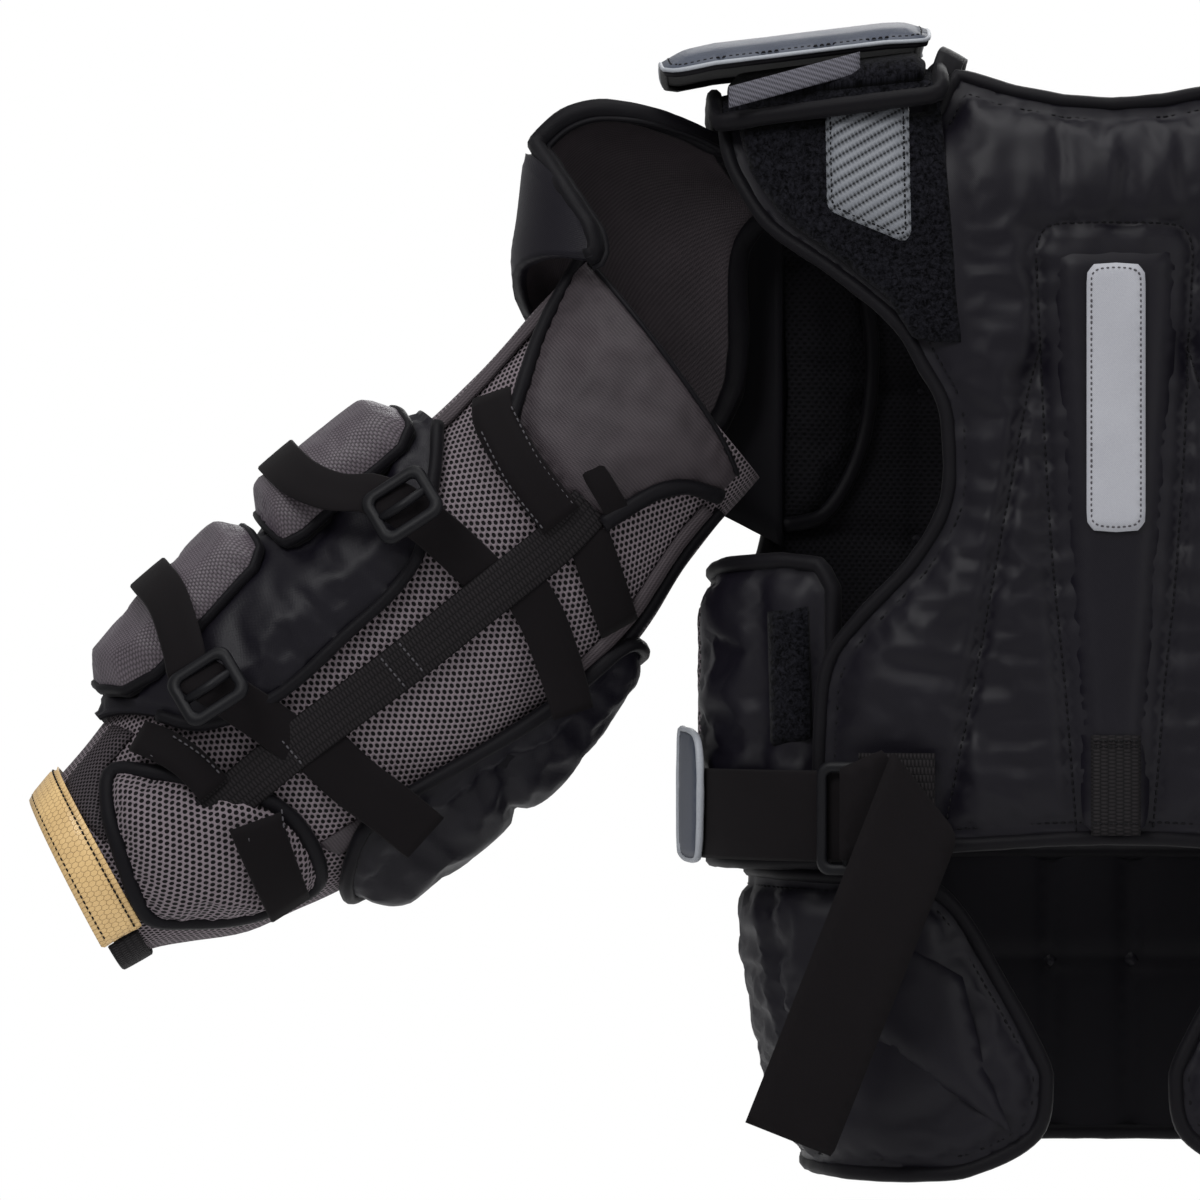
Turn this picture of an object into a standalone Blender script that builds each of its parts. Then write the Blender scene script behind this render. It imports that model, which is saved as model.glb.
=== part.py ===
"""Ice-hockey goaltender's chest and arm protector, shown from behind: metres, +Z up.

+X is the wearer's right, +Y the wearer's front. The origin is the middle of the back of the
neckline, where the wearer's shoulders carry the garment. Everything sewn to one side is made
for the wearer's left (-X) and then mirrored.
"""
import math

import bmesh
import bpy
from mathutils import Matrix, Vector

# ---- driving dimensions -------------------------------------------------------------------
GAP = 0.0003                    # between touching pieces
CLEAR = 0.0018                  # under a piece sewn on a curved, faceted panel
WELD = 0.0001
TORSO_TOP = 0.0
BACK_BOTTOM = -0.403
CHEST_BOTTOM = -0.408
BELLY_BOTTOM = -0.572
BACK_INNER_Y = -0.118           # inside of the back panel on the centreline
CHEST_INNER_Y = 0.125           # inside of the chest panel on the centreline
BACK_CURVE = 1.1                # how fast the back panel curves forward, 1/m
CHEST_CURVE = 1.0
BACK_THICK = 0.014
CHEST_THICK = 0.026
BELLY_THICK = 0.020
WING_THICK = 0.0135
NECK_HALF = 0.0825               # half width of the neckline
LOOP_THICK = 0.0022
WEBBING_THICK = 0.0016
ONE_INCH = 0.0254
TWO_INCH = 0.0508
SHOULDER_ROLL = 0.016           # how far the panels roll towards each other at the shoulder
ROLL_DEPTH = 0.060

# the arm: a straight axis from ARM_START, falling outwards at ARM_SLOPE
ARM_START = Vector((-0.2585, 0.0, -0.158))
ARM_SLOPE = math.radians(40.3)
ELBOW_ALONG = 0.209
ELBOW_CENTRE = -0.0175
FLEX_TILT = math.radians(35)    # the elbow bends inwards and partly forwards
WEDGE = math.radians(36)        # slant of each sleeve end on the inside of the elbow
SLEEVE_THICK = 0.009
CUFF_ALONG = 0.404

SHOULDER_PIVOT = Vector((-0.205, 0.0, 0.0))
CAP_HINGE = Vector((-0.099, 0.0, 0.040))
SLIDE_WALL = 0.0055             # bars of a webbing slide
SLIDE_THICK = 0.0034
STRAP_HEIGHT = 0.0360           # of the cross straps over the sleeve, on top of the elbow pads

# distance along the arm, centre towards the outside, half height, half depth
SLEEVE_SECTIONS = (
    (0.030, -0.0050, 0.0750, 0.0600),
    (0.090, -0.0165, 0.0860, 0.0640),
    (0.170, -0.0185, 0.0895, 0.0660),
    (0.209, -0.0175, 0.0905, 0.0660),
    (0.260, -0.0175, 0.0880, 0.0640),
    (0.300, -0.0180, 0.0830, 0.0600),
    (0.355, -0.0150, 0.0710, 0.0520),
    (0.404, -0.0055, 0.0530, 0.0440),
)
# height, half width of the back panel between its armhole and side edges
BACK_EDGE = (
    (0.000, 0.2170), (-0.037, 0.2040), (-0.073, 0.1730), (-0.117, 0.1265), (-0.142, 0.1020),
    (-0.175, 0.0890), (-0.213, 0.0910), (-0.246, 0.1070), (-0.279, 0.1375), (-0.304, 0.1540),
    (-0.345, 0.1580), (-0.403, 0.1580),
)
CHEST_EDGE = (
    (-0.020, 0.1900), (-0.070, 0.1820), (-0.150, 0.1760), (-0.230, 0.1820), (-0.290, 0.1980),
    (-0.408, 0.2000),
)


# ---- small helpers ------------------------------------------------------------------------
def blend_table(table, at):
    """Smooth value (or values) of a table sorted by its first column."""
    rows = sorted(table)
    at = min(max(at, rows[0][0]), rows[-1][0])
    for low, high in zip(rows, rows[1:]):
        if at <= high[0]:
            share = (at - low[0]) / (high[0] - low[0])
            values = [a + (b - a) * share for a, b in zip(low[1:], high[1:])]
            return values if len(values) > 1 else values[0]
    return None


def mix(start, end, share):
    return start + (end - start) * share


def along_curve(points, share):
    """Point on a Catmull-Rom curve through the points."""
    spans = len(points) - 1
    place = min(max(share, 0.0), 1.0) * spans
    index = min(int(place), spans - 1)
    local = place - index
    before = points[max(index - 1, 0)]
    first, second = points[index], points[index + 1]
    after = points[min(index + 2, spans)]
    return 0.5 * (2 * first + (second - before) * local
                  + (2 * before - 5 * first + 4 * second - after) * local ** 2
                  + (3 * first - before - 3 * second + after) * local ** 3)


def finish(name, colour, roughness, metallic=0.0):
    material = bpy.data.materials.new(name)
    material.use_nodes = True
    shader = material.node_tree.nodes["Principled BSDF"]
    shader.inputs["Base Color"].default_value = (*colour, 1.0)
    shader.inputs["Roughness"].default_value = roughness
    shader.inputs["Metallic"].default_value = metallic
    return material


def add_object(name, mesh, material):
    piece = bpy.data.objects.new(name, mesh)
    mesh.materials.clear()
    mesh.materials.append(material)
    PARTS.objects.link(piece)
    return piece


def sheet(name, surface, across, down, thickness, material, outward, loop=False, inward=False):
    """A curved sheet swept by surface(u, v), thickened on its outward side, or inward."""
    work = bmesh.new()
    bmesh.ops.create_grid(work, x_segments=across, y_segments=down, size=0.5)
    for vertex in work.verts:
        vertex.co = surface(vertex.co.x + 0.5, vertex.co.y + 0.5)
    if loop:
        bmesh.ops.remove_doubles(work, verts=work.verts, dist=WELD)
    work.normal_update()
    work.faces.ensure_lookup_table()
    probe = work.faces[(down // 2) * across + across // 2]
    if probe.normal.dot(outward(probe.calc_center_median())) < 0:
        bmesh.ops.reverse_faces(work, faces=work.faces)
    mesh = bpy.data.meshes.new(name)
    work.to_mesh(mesh)
    work.free()
    mesh.shade_smooth()
    mesh.set_sharp_from_angle(angle=math.radians(40))
    piece = add_object(name, mesh, material)
    solid = piece.modifiers.new("thickness", "SOLIDIFY")
    solid.thickness = thickness
    solid.offset = -1.0 if inward else 1.0
    solid.use_even_offset = True
    return piece


def frame_curve(name, width, height, bars, material, place):
    """A flat webbing slide: a rounded frame with a slot between each pair of bars."""
    curve = bpy.data.curves.new(name, "CURVE")
    curve.dimensions = "2D"
    curve.fill_mode = "BOTH"
    curve.extrude = SLIDE_THICK / 2
    slot_width = (width - (bars + 1) * SLIDE_WALL) / bars
    outlines = [(0.0, 0.0, width, height, SLIDE_WALL)]
    for index in range(bars):
        middle = -width / 2 + SLIDE_WALL + slot_width / 2 + index * (slot_width + SLIDE_WALL)
        outlines.append((middle, 0.0, slot_width, height - 2 * SLIDE_WALL, 0.0012))
    for x, y, wide, tall, corner in outlines:
        spline = curve.splines.new("POLY")
        points = []
        for quarter in range(4):
            turn = math.pi / 2 * quarter
            centre_x = x + (wide / 2 - corner) * (1 if quarter in (0, 3) else -1)
            centre_y = y + (tall / 2 - corner) * (1 if quarter in (0, 1) else -1)
            for step in range(3):
                angle = turn + math.pi / 4 * step
                points.append((centre_x + corner * math.cos(angle),
                               centre_y + corner * math.sin(angle)))
        spline.points.add(len(points) - 1)
        for point, (px, py) in zip(spline.points, points):
            point.co = (px, py, 0.0, 1.0)
        spline.use_cyclic_u = True
    guide = bpy.data.objects.new(name + "_outline", curve)
    PARTS.objects.link(guide)
    guide.matrix_world = place
    bpy.context.view_layer.update()
    shown = guide.evaluated_get(bpy.context.evaluated_depsgraph_get())
    mesh = bpy.data.meshes.new_from_object(shown)
    mesh.transform(guide.matrix_world)
    bpy.data.objects.remove(guide)
    work = bmesh.new()
    work.from_mesh(mesh)
    bmesh.ops.remove_doubles(work, verts=work.verts, dist=WELD)
    work.to_mesh(mesh)
    work.free()
    return add_object(name, mesh, material)


def hang_on(empty_name, place, pieces):
    """Parents the pieces to an empty on their joint's axis, where they are."""
    empty = bpy.data.objects.new(empty_name, None)
    PARTS.objects.link(empty)
    empty.location = place
    bpy.context.view_layer.update()
    for piece in pieces:
        piece.parent = empty
        piece.matrix_parent_inverse = empty.matrix_world.inverted()
    return empty


def mirrored(piece, name):
    """The wearer's right-hand copy of a left-hand piece."""
    bpy.context.view_layer.update()
    shown = piece.evaluated_get(bpy.context.evaluated_depsgraph_get())
    mesh = bpy.data.meshes.new_from_object(shown)
    mesh.transform(Matrix.Scale(-1, 4, Vector((1, 0, 0))) @ piece.matrix_world)
    mesh.flip_normals()
    return add_object(name, mesh, piece.data.materials[0])


# ---- shapes of the torso ------------------------------------------------------------------
def shoulder_roll(z):
    rise = max(0.0, (z + ROLL_DEPTH) / ROLL_DEPTH)
    return SHOULDER_ROLL * rise * rise


def back_y(x, z):
    """Inside of the back panel."""
    return BACK_INNER_Y + BACK_CURVE * x * x + shoulder_roll(min(z, 0.02))


def chest_y(x, z):
    """Inside of the chest panel."""
    return CHEST_INNER_Y - CHEST_CURVE * x * x - shoulder_roll(z)


def on_back(x, z, height=0.0):
    """A point standing off the outer face of the back panel."""
    step = 0.001
    slope_x = (back_y(x + step, z) - back_y(x - step, z)) / (2 * step)
    slope_z = (back_y(x, z + step) - back_y(x, z - step)) / (2 * step)
    normal = Vector((slope_x, -1.0, slope_z)).normalized()
    return Vector((x, back_y(x, z), z)) + normal * (BACK_THICK + height)


def neckline(x):
    """Height of the back panel's top edge: a dip between the shoulders."""
    across = min(abs(x) / NECK_HALF, 1.0)
    under_yoke = min(max(0.0, (abs(x) - NECK_HALF) / 0.010), 1.0)
    return 0.0176 * across * across - 0.0316 * under_yoke


def behind(_):
    return Vector((0, -1, 0))


def in_front(_):
    return Vector((0, 1, 0))


def back_panel(material):
    def surface(u, v):
        share = 1 - v
        nominal = mix(TORSO_TOP, BACK_BOTTOM, share)
        half = blend_table(BACK_EDGE, nominal)
        x = mix(-half, half, u)
        z = nominal + neckline(x) * max(0.0, 1 - share * 4)
        return Vector((x, back_y(x, z), z))
    return sheet("back_panel", surface, 12, 22, BACK_THICK, material, behind)


def spine_pad(material):
    def surface(u, v):
        z = mix(-0.066, -0.394, 1 - v)
        half = mix(0.041, 0.021, (1 - v) ** 1.3)
        return on_back(mix(-half, half, u), z, CLEAR)
    return sheet("spine_pad", surface, 4, 8, 0.005, material, behind)


def spine_patch(material):
    """A plain flat patch, its face square to the body, sewn on the spine pad."""
    def surface(u, v):
        face = BACK_INNER_Y - BACK_THICK - CLEAR - 0.0056
        return Vector((mix(-0.016, 0.016, u), face, mix(-0.084, -0.232, v)))
    return sheet("spine_patch", surface, 1, 1, 0.0012, material, behind)


def spine_keeper(material):
    def surface(u, v):
        z = mix(-0.345, -0.393, v)
        return on_back(mix(-0.0127, 0.0127, u), z, CLEAR + 0.0056)
    return sheet("spine_keeper", surface, 2, 2, WEBBING_THICK, material, behind)


def front_panel(name, edge, top, bottom, inner_y, curve, thick, rows, scoop, material):
    def surface(u, v):
        z = mix(top, bottom, 1 - v)
        half = blend_table(edge, z)
        x = mix(-half, half, u)
        dip = scoop * max(0.0, 1 - (x / NECK_HALF) ** 2) * max(0.0, 1 - (1 - v) * 4)
        return Vector((x, inner_y - curve * x * x - shoulder_roll(z), z - dip))
    return sheet(name, surface, 10, rows, thick, material, in_front)


def shoulder_loop(material):
    """Hook-and-loop landing panel beside the armhole, on the back panel."""
    def surface(u, v):
        z = mix(-0.128, -0.012, v)
        outer = -blend_table(BACK_EDGE, z) + 0.004
        inner = mix(-0.0825, -0.0935, v)
        return on_back(mix(min(outer, inner - 0.012), inner, u), z, CLEAR)
    return sheet("left_shoulder_loop", surface, 5, 8, LOOP_THICK, material, behind)


def carbon_tab(material):
    def surface(u, v):
        x = mix(-0.153, -0.1075, u)
        bottom = mix(-0.053, -0.072, u)
        return on_back(x, mix(bottom, -0.014, v), LOOP_THICK + CLEAR + 0.0008)
    return sheet("left_shoulder_tab", surface, 3, 4, 0.002, material, behind)


YOKE_PROFILE = [Vector(p) for p in (
    (-0.104, -0.009, 0), (-0.093, -0.001, 0), (-0.060, 0.005, 0), (0.010, 0.007, 0),
    (0.045, 0.002, 0), (0.066, -0.008, 0))]


def over_shoulder(x, share, height):
    """A point over the shoulder: share runs from the back edge to the front one."""
    point = along_curve(YOKE_PROFILE, share)
    ahead = along_curve(YOKE_PROFILE, min(share + 0.02, 1.0))
    before = along_curve(YOKE_PROFILE, max(share - 0.02, 0.0))
    run = (ahead - before).normalized()
    lift = 0.014 * (x + 0.217) / 0.1235
    follow = BACK_CURVE * (x * x - 0.0225) * (1 - share)
    return Vector((x, point.x - run.y * height + follow, point.y + run.x * height + lift))


def above(_):
    return Vector((0, 0, 1))


def yoke_flap(material):
    def surface(u, v):
        return over_shoulder(mix(-0.217, -0.0935, u), v, 0.0)
    return sheet("left_yoke_flap", surface, 4, 10, 0.008, material, above)


def yoke_webbing(material):
    def surface(u, v):
        middle = 0.30 + 0.10 * u
        return over_shoulder(mix(-0.207, -0.137, u), middle + 0.13 * (v - 0.5), 0.0095)
    return sheet("left_yoke_webbing", surface, 3, 3, WEBBING_THICK, material, above)


def shoulder_cap(material):
    def surface(u, v):
        x = mix(-0.247, -0.099, u)
        y = mix(-0.088, 0.068, v)
        crown = 0.010 * (1 - (2 * v - 1) ** 2)
        return Vector((x, y, mix(0.017, 0.0335, u) + crown))
    return sheet("left_shoulder_cap", surface, 4, 6, 0.010, material, above)


WING_PATH = [Vector(p) for p in (
    (-0.156, 0.076, 0), (-0.196, 0.046, 0), (-0.212, 0.0, 0), (-0.196, -0.046, 0),
    (-0.150, -0.076, 0))]


def sideways(_):
    return Vector((-1, 0, 0))


def rib_wing(material):
    def surface(u, v):
        point = along_curve(WING_PATH, u)
        top = mix(-0.262, -0.246, u)
        return Vector((point.x, point.y, mix(-0.413, top, v)))
    return sheet("left_rib_wing", surface, 12, 4, WING_THICK, material, sideways)


BELLY_PATH = [Vector(p) for p in (
    (-0.168, 0.062, 0), (-0.188, 0.030, 0), (-0.190, -0.020, 0), (-0.168, -0.064, 0),
    (-0.112, -0.083, 0), (-0.036, -0.086, 0))]


def belly_wing(material):
    def surface(u, v):
        point = along_curve(BELLY_PATH, u)
        tip = max(0.0, (u - 0.72) / 0.28) ** 2
        low = mix(-0.583, -0.556, tip)
        high = mix(-0.423, -0.462, tip)
        z = mix(low, high, v)
        drop = (z + 0.42) / 0.16
        return Vector((point.x * (1 - 0.16 * drop * drop), point.y, z))
    return sheet("left_belly_wing", surface, 12, 4, 0.012, material, sideways)


# ---- body strap ---------------------------------------------------------------------------
STRAP_HIGH = -0.361
STRAP_ROUTE = [Vector(p) for p in (
    (-0.2285, -0.012, 0), (-0.2195, -0.050, 0), (-0.198, -0.083, 0), (-0.170, -0.1095, 0),
    (-0.140, -0.1205, 0))]
SLIDE_PLACE = Vector((-0.146, -0.1235, -0.3875))
SLIDE_YAW = math.radians(-19)


def body_strap(material):
    def surface(u, v):
        point = along_curve(STRAP_ROUTE, u)
        return Vector((point.x, point.y, mix(STRAP_HIGH - TWO_INCH, STRAP_HIGH, v)))
    return sheet("left_body_strap", surface, 10, 2, WEBBING_THICK, material, behind)


def strap_anchor(material):
    def surface(u, v):
        x = mix(-0.1345, -0.0946, u)
        return on_back(x, mix(STRAP_HIGH - TWO_INCH + 0.012, STRAP_HIGH + 0.010, v), CLEAR)
    return sheet("left_strap_anchor", surface, 3, 2, WEBBING_THICK, material, behind)


def side_tab(material):
    def surface(u, v):
        point = Vector((mix(-0.2325, -0.2235, u), mix(-0.006, -0.050, u)))
        return Vector((point.x, point.y, mix(-0.4125, -0.341, v)))
    return sheet("left_side_tab", surface, 2, 2, 0.0030, material, sideways)


TAIL_TOP = Vector((-0.134, -0.1335, -0.372))
TAIL_END = Vector((-0.1815, -0.150, -0.560))


def strap_tail(material):
    run = TAIL_END - TAIL_TOP
    across = Vector((-run.z, 0, run.x)).normalized()

    def surface(u, v):
        bulge = Vector((0, -0.006 * math.sin(math.pi * v), 0))
        return TAIL_TOP + run * v + across * TWO_INCH * (u - 0.5) + bulge
    return sheet("left_strap_tail", surface, 2, 6, WEBBING_THICK, material, behind)


# ---- shapes of the arm --------------------------------------------------------------------
DOWN_ARM = Vector((-math.cos(ARM_SLOPE), 0, -math.sin(ARM_SLOPE)))
OUTWARD = Vector((-math.sin(ARM_SLOPE), 0, math.cos(ARM_SLOPE)))
TO_BACK = Vector((0, -1, 0))


def arm_point(along, back, outward):
    return ARM_START + DOWN_ARM * along + TO_BACK * back + OUTWARD * outward


def ring_offset(along, angle, height):
    """Offset of a point round the sleeve; angle 0 is outward, 90 degrees is to the back."""
    centre, half_height, half_depth = blend_table(SLEEVE_SECTIONS, along)
    back = (half_depth + height) * math.sin(angle)
    outward = centre + (half_height + height) * math.cos(angle)
    return back, outward


def on_sleeve(along, angle, height=0.0):
    return arm_point(along, *ring_offset(along, angle, height))


def from_arm_axis(point):
    to_point = point - ARM_START
    axis_part = DOWN_ARM * to_point.dot(DOWN_ARM)
    return to_point - axis_part - OUTWARD * ELBOW_CENTRE


def wedge_back(angle):
    """How far a sleeve end slants back from the elbow at this angle round it."""
    back, outward = ring_offset(ELBOW_ALONG, angle, 0.0)
    flex_side = -back * math.sin(FLEX_TILT) - (outward - ELBOW_CENTRE) * math.cos(FLEX_TILT)
    return max(0.0, flex_side) * math.tan(WEDGE) + 0.0006


def sleeve(name, first, last, wedge_first, wedge_last, rows, material):
    def surface(u, v):
        angle = 2 * math.pi * u
        low = first + (wedge_back(angle) if wedge_first else 0.0)
        high = last - (wedge_back(angle) if wedge_last else 0.0)
        return on_sleeve(mix(low, high, v), angle)
    return sheet(name, surface, 20, rows, SLEEVE_THICK, material, from_arm_axis, True, True)


def elbow_gusset(material):
    """Stretch fabric that closes the wedge on the inside of the elbow."""
    def surface(u, v):
        angle = math.radians(mix(168, 262, u))
        reach = wedge_back(angle) - 0.0035
        return on_sleeve(ELBOW_ALONG + mix(-reach, reach, v), angle, -0.003)
    return sheet("left_elbow_gusset", surface, 8, 3, 0.003, material, from_arm_axis, False, True)


def wrap(name, first, last, low, high, across, down, thick, height, material):
    """A pad laid round the sleeve between two angles in degrees and two distances."""
    def surface(u, v):
        angle = math.radians(mix(low, high, u))
        return on_sleeve(mix(first, last, v), angle, height)
    return sheet(name, surface, across, down, thick, material, from_arm_axis)


GUARD_ROWS = (
    (-0.126, 0.076, 0.050, 2, -62),
    (-0.100, 0.122, 0.058, 16, -74),
    (-0.070, 0.141, 0.064, 24, -90),
    (-0.040, 0.134, 0.067, 30, -102),
    (0.000, 0.098, 0.070, 48, -116),
    (0.055, 0.080, 0.070, 62, -118),
)


def shoulder_guard(material):
    """Flared guard round the outside and front of the shoulder, open to the back."""
    def surface(u, v):
        along = mix(GUARD_ROWS[0][0], GUARD_ROWS[-1][0], v)
        half_height, half_depth, start, end = blend_table(GUARD_ROWS, along)
        angle = math.radians(mix(start, end, u))
        return arm_point(along, half_depth * math.sin(angle), half_height * math.cos(angle))
    return sheet("left_shoulder_guard", surface, 12, 9, 0.008, material, from_arm_axis)


def arm_strap(name, start, end, height, material):
    """Elastic laid over the sleeve from (along, angle) to (along, angle)."""
    def surface(u, v):
        along = mix(start[0], end[0], v)
        angle = math.radians(mix(start[1], end[1], v))
        return on_sleeve(along + ONE_INCH * (u - 0.5), angle, height)
    return sheet(name, surface, 2, 8, WEBBING_THICK, material, from_arm_axis)


def slide_matrix(along, angle, height):
    """Placement of a slide lying on the sleeve, its strap running round the arm."""
    middle = on_sleeve(along, angle, height)
    ahead = on_sleeve(along, angle + 0.05, height) - on_sleeve(along, angle - 0.05, height)
    round_arm = ahead.normalized()
    turn = Matrix((round_arm, DOWN_ARM, round_arm.cross(DOWN_ARM))).transposed()
    return Matrix.Translation(middle) @ turn.to_4x4()


def build():
    satin = finish("satin_black", (0.013, 0.012, 0.016), 0.45)
    mesh_cloth = finish("spacer_mesh", (0.11, 0.10, 0.105), 0.75)
    lining = finish("warm_grey_lining", (0.045, 0.038, 0.041), 0.8)
    loop_cloth = finish("loop_cloth", (0.006, 0.006, 0.008), 0.95)
    carbon = finish("carbon_leather", (0.14, 0.145, 0.15), 0.38)
    gold = finish("tan_gold_leather", (0.58, 0.39, 0.17), 0.42)
    web = finish("webbing_black", (0.012, 0.011, 0.011), 0.8)
    plastic = finish("moulded_plastic", (0.020, 0.020, 0.023), 0.4)
    ribbed = finish("ribbed_floater", (0.10, 0.092, 0.10), 0.6)
    silver = finish("silver_blue_leather", (0.16, 0.18, 0.22), 0.4)

    back_panel(satin)
    spine_pad(satin)
    spine_patch(silver)
    spine_keeper(web)
    front_panel("chest_panel", CHEST_EDGE, -0.020, CHEST_BOTTOM, CHEST_INNER_Y, CHEST_CURVE,
                CHEST_THICK, 10, 0.045, satin)
    belly_edge = ((-0.412, 0.178), (BELLY_BOTTOM, 0.120))
    belly = front_panel("belly_panel", belly_edge, -0.412, BELLY_BOTTOM, 0.118, 0.9,
                        BELLY_THICK, 4, 0.0, satin)

    left = {
        "torso": [
            shoulder_loop(loop_cloth), carbon_tab(carbon), yoke_flap(satin),
            yoke_webbing(web), rib_wing(satin), body_strap(web), strap_anchor(web),
            side_tab(silver),
        ],
        "belly": [belly_wing(satin)],
        "shoulder_cap": [shoulder_cap(silver)],
        "upper_arm": [
            shoulder_guard(lining),
            sleeve("left_upper_sleeve", 0.030, ELBOW_ALONG, False, True, 5, mesh_cloth),
            elbow_gusset(mesh_cloth),
            wrap("left_elbow_wing", 0.095, 0.300, 165, 205, 4, 6, 0.010, CLEAR, satin),
            wrap("left_arm_webbing", 0.078, 0.330, 84, 101, 2, 6, WEBBING_THICK, CLEAR, web),
        ],
        "forearm": [
            sleeve("left_forearm_sleeve", ELBOW_ALONG, CUFF_ALONG, True, False, 5, mesh_cloth),
            wrap("left_cuff_band", 0.381, 0.420, -95, 122, 12, 2, 0.0025, CLEAR, gold),
            wrap("left_wrist_elastic", 0.392, 0.418, 124, 262, 8, 1, 0.0016, CLEAR, web),
        ],
        "elbow_pad": [
            wrap("left_elbow_backing", 0.100, 0.345, -22, 79, 8, 6, 0.004, 0.0022, satin),
            wrap("left_elbow_cap_upper", 0.108, 0.203, -3, 68, 6, 4, 0.024, 0.0090, ribbed),
            wrap("left_elbow_cap_lower", 0.215, 0.335, -3, 66, 6, 4, 0.022, 0.0090, ribbed),
            arm_strap("left_cross_strap_upper", (0.150, -8), (0.128, 82), STRAP_HEIGHT, web),
            arm_strap("left_cross_strap_lower", (0.300, -8), (0.262, 82), STRAP_HEIGHT, web),
        ],
    }
    slides = (("left_arm_slide_upper", 0.134, 60), ("left_arm_slide_lower", 0.271, 60))
    slide_height = STRAP_HEIGHT + WEBBING_THICK + SLIDE_THICK / 2 + 0.0035
    for name, along, angle in slides:
        place = slide_matrix(along, math.radians(angle), slide_height)
        left[name[5:]] = [frame_curve(name, 0.034, 0.037, 2, plastic, place)]
    facing = Matrix.Rotation(SLIDE_YAW, 4, "Z") @ Matrix.Rotation(math.pi / 2, 4, "X")
    body_place = Matrix.Translation(SLIDE_PLACE) @ facing
    left["body_slide"] = [frame_curve("left_body_slide", 0.034, 0.062, 2, plastic, body_place)]
    left["strap_tail"] = [strap_tail(web)]

    elbow_place = arm_point(ELBOW_ALONG, 0.0, ELBOW_CENTRE)
    axes = {
        "belly": Vector((0, CHEST_INNER_Y + CHEST_THICK, CHEST_BOTTOM)),
        "shoulder_cap": CAP_HINGE,
        "upper_arm": SHOULDER_PIVOT,
        "forearm": elbow_place,
        "elbow_pad": elbow_place,
        "arm_slide_upper": elbow_place,
        "arm_slide_lower": elbow_place,
        "body_slide": SLIDE_PLACE,
        "strap_tail": TAIL_TOP,
    }
    mirror = Vector((-1, 1, 1))
    for body, pieces in left.items():
        copies = [mirrored(piece, piece.name.replace("left_", "right_")) for piece in pieces]
        if body == "belly":
            hang_on("belly_axis", axes[body], [belly, *pieces, *copies])
        elif body in axes:
            hang_on("left_" + body + "_axis", axes[body], pieces)
            hang_on("right_" + body + "_axis", axes[body] * mirror, copies)


for old in list(bpy.data.objects):
    bpy.data.objects.remove(old)
PARTS = bpy.data.collections.new("goalie_chest_and_arm_protector")
bpy.context.scene.collection.children.link(PARTS)
build()
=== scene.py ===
"""Looks of an ice-hockey goaltender's chest and arm protector, seen from behind.

Metres, +Z up, +X the wearer's right, +Y the wearer's front, origin at the back of the neckline.
Everything sewn to one side is made for the wearer's left (-X), then twinned to the right.
"""
import math

import bmesh
import bpy
import numpy as np
from mathutils import Matrix, Vector, geometry, noise


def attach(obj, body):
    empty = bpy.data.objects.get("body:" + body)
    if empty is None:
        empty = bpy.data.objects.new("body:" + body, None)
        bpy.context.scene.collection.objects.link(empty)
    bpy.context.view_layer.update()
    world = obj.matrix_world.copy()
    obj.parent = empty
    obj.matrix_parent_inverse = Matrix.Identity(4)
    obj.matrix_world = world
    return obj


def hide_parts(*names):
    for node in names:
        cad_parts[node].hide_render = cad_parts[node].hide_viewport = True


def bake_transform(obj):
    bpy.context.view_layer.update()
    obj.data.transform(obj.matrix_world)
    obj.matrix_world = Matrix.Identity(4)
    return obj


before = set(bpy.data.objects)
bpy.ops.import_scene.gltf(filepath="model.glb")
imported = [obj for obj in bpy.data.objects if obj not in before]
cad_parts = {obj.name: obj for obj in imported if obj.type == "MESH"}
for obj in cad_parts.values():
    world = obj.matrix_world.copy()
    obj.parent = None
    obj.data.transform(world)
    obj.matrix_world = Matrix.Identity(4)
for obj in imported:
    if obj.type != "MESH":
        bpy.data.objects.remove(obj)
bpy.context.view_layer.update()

# ---- dimensions shared with the frame -----------------------------------------------------
BACK_INNER_Y = -0.118
CHEST_INNER_Y = 0.125
BACK_CURVE = 1.1
BELLY_INNER_Y = 0.118
BELLY_CURVE = 0.9
ROLL_DEPTH = 0.06
SHOULDER_ROLL = 0.016
ONE_INCH = 0.0254
TWO_INCH = 0.0508
WEBBING = 0.0018                # thickness of a strap
TAB = 0.0026                    # thickness of a doubled tab
CROSS_STRAP = 0.025
ARM_START = Vector((-0.2585, 0.0, -0.158))
ARM_SLOPE = math.radians(40.3)
DOWN_ARM = Vector((-math.cos(ARM_SLOPE), 0, -math.sin(ARM_SLOPE)))
OUTWARD = Vector((-math.sin(ARM_SLOPE), 0, math.cos(ARM_SLOPE)))
TO_BACK = Vector((0, -1, 0))
ELBOW_ALONG = 0.209
ELBOW_REACH = 0.062             # distance of the elbow span's two end points from the elbow
ARM_ROUND = 0.078               # radius that turns an angle round the sleeve into an arc
SLEEVE_SECTIONS = (
    (-0.03, 0.004, 0.08, 0.06),
    (0.03, -0.005, 0.08, 0.061),
    (0.09, -0.0165, 0.086, 0.064),
    (0.17, -0.0185, 0.0895, 0.066),
    (0.209, -0.0175, 0.0905, 0.066),
    (0.26, -0.0175, 0.088, 0.064),
    (0.3, -0.018, 0.083, 0.06),
    (0.355, -0.015, 0.071, 0.052),
    (0.404, -0.0055, 0.053, 0.044),
    (0.43, -0.002, 0.05, 0.042),
)
ON_ARM = ("shoulder_cap", "upper_arm", "forearm", "elbow_pad", "arm_slide_upper",
          "arm_slide_lower", "body_slide", "strap_tail")


# ---- lines and tables ---------------------------------------------------------------------
def mix(start, end, share):
    return start + (end - start) * share


def ease(share):
    share = min(max(share, 0.0), 1.0)
    return share * share * (3 - 2 * share)


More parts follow.
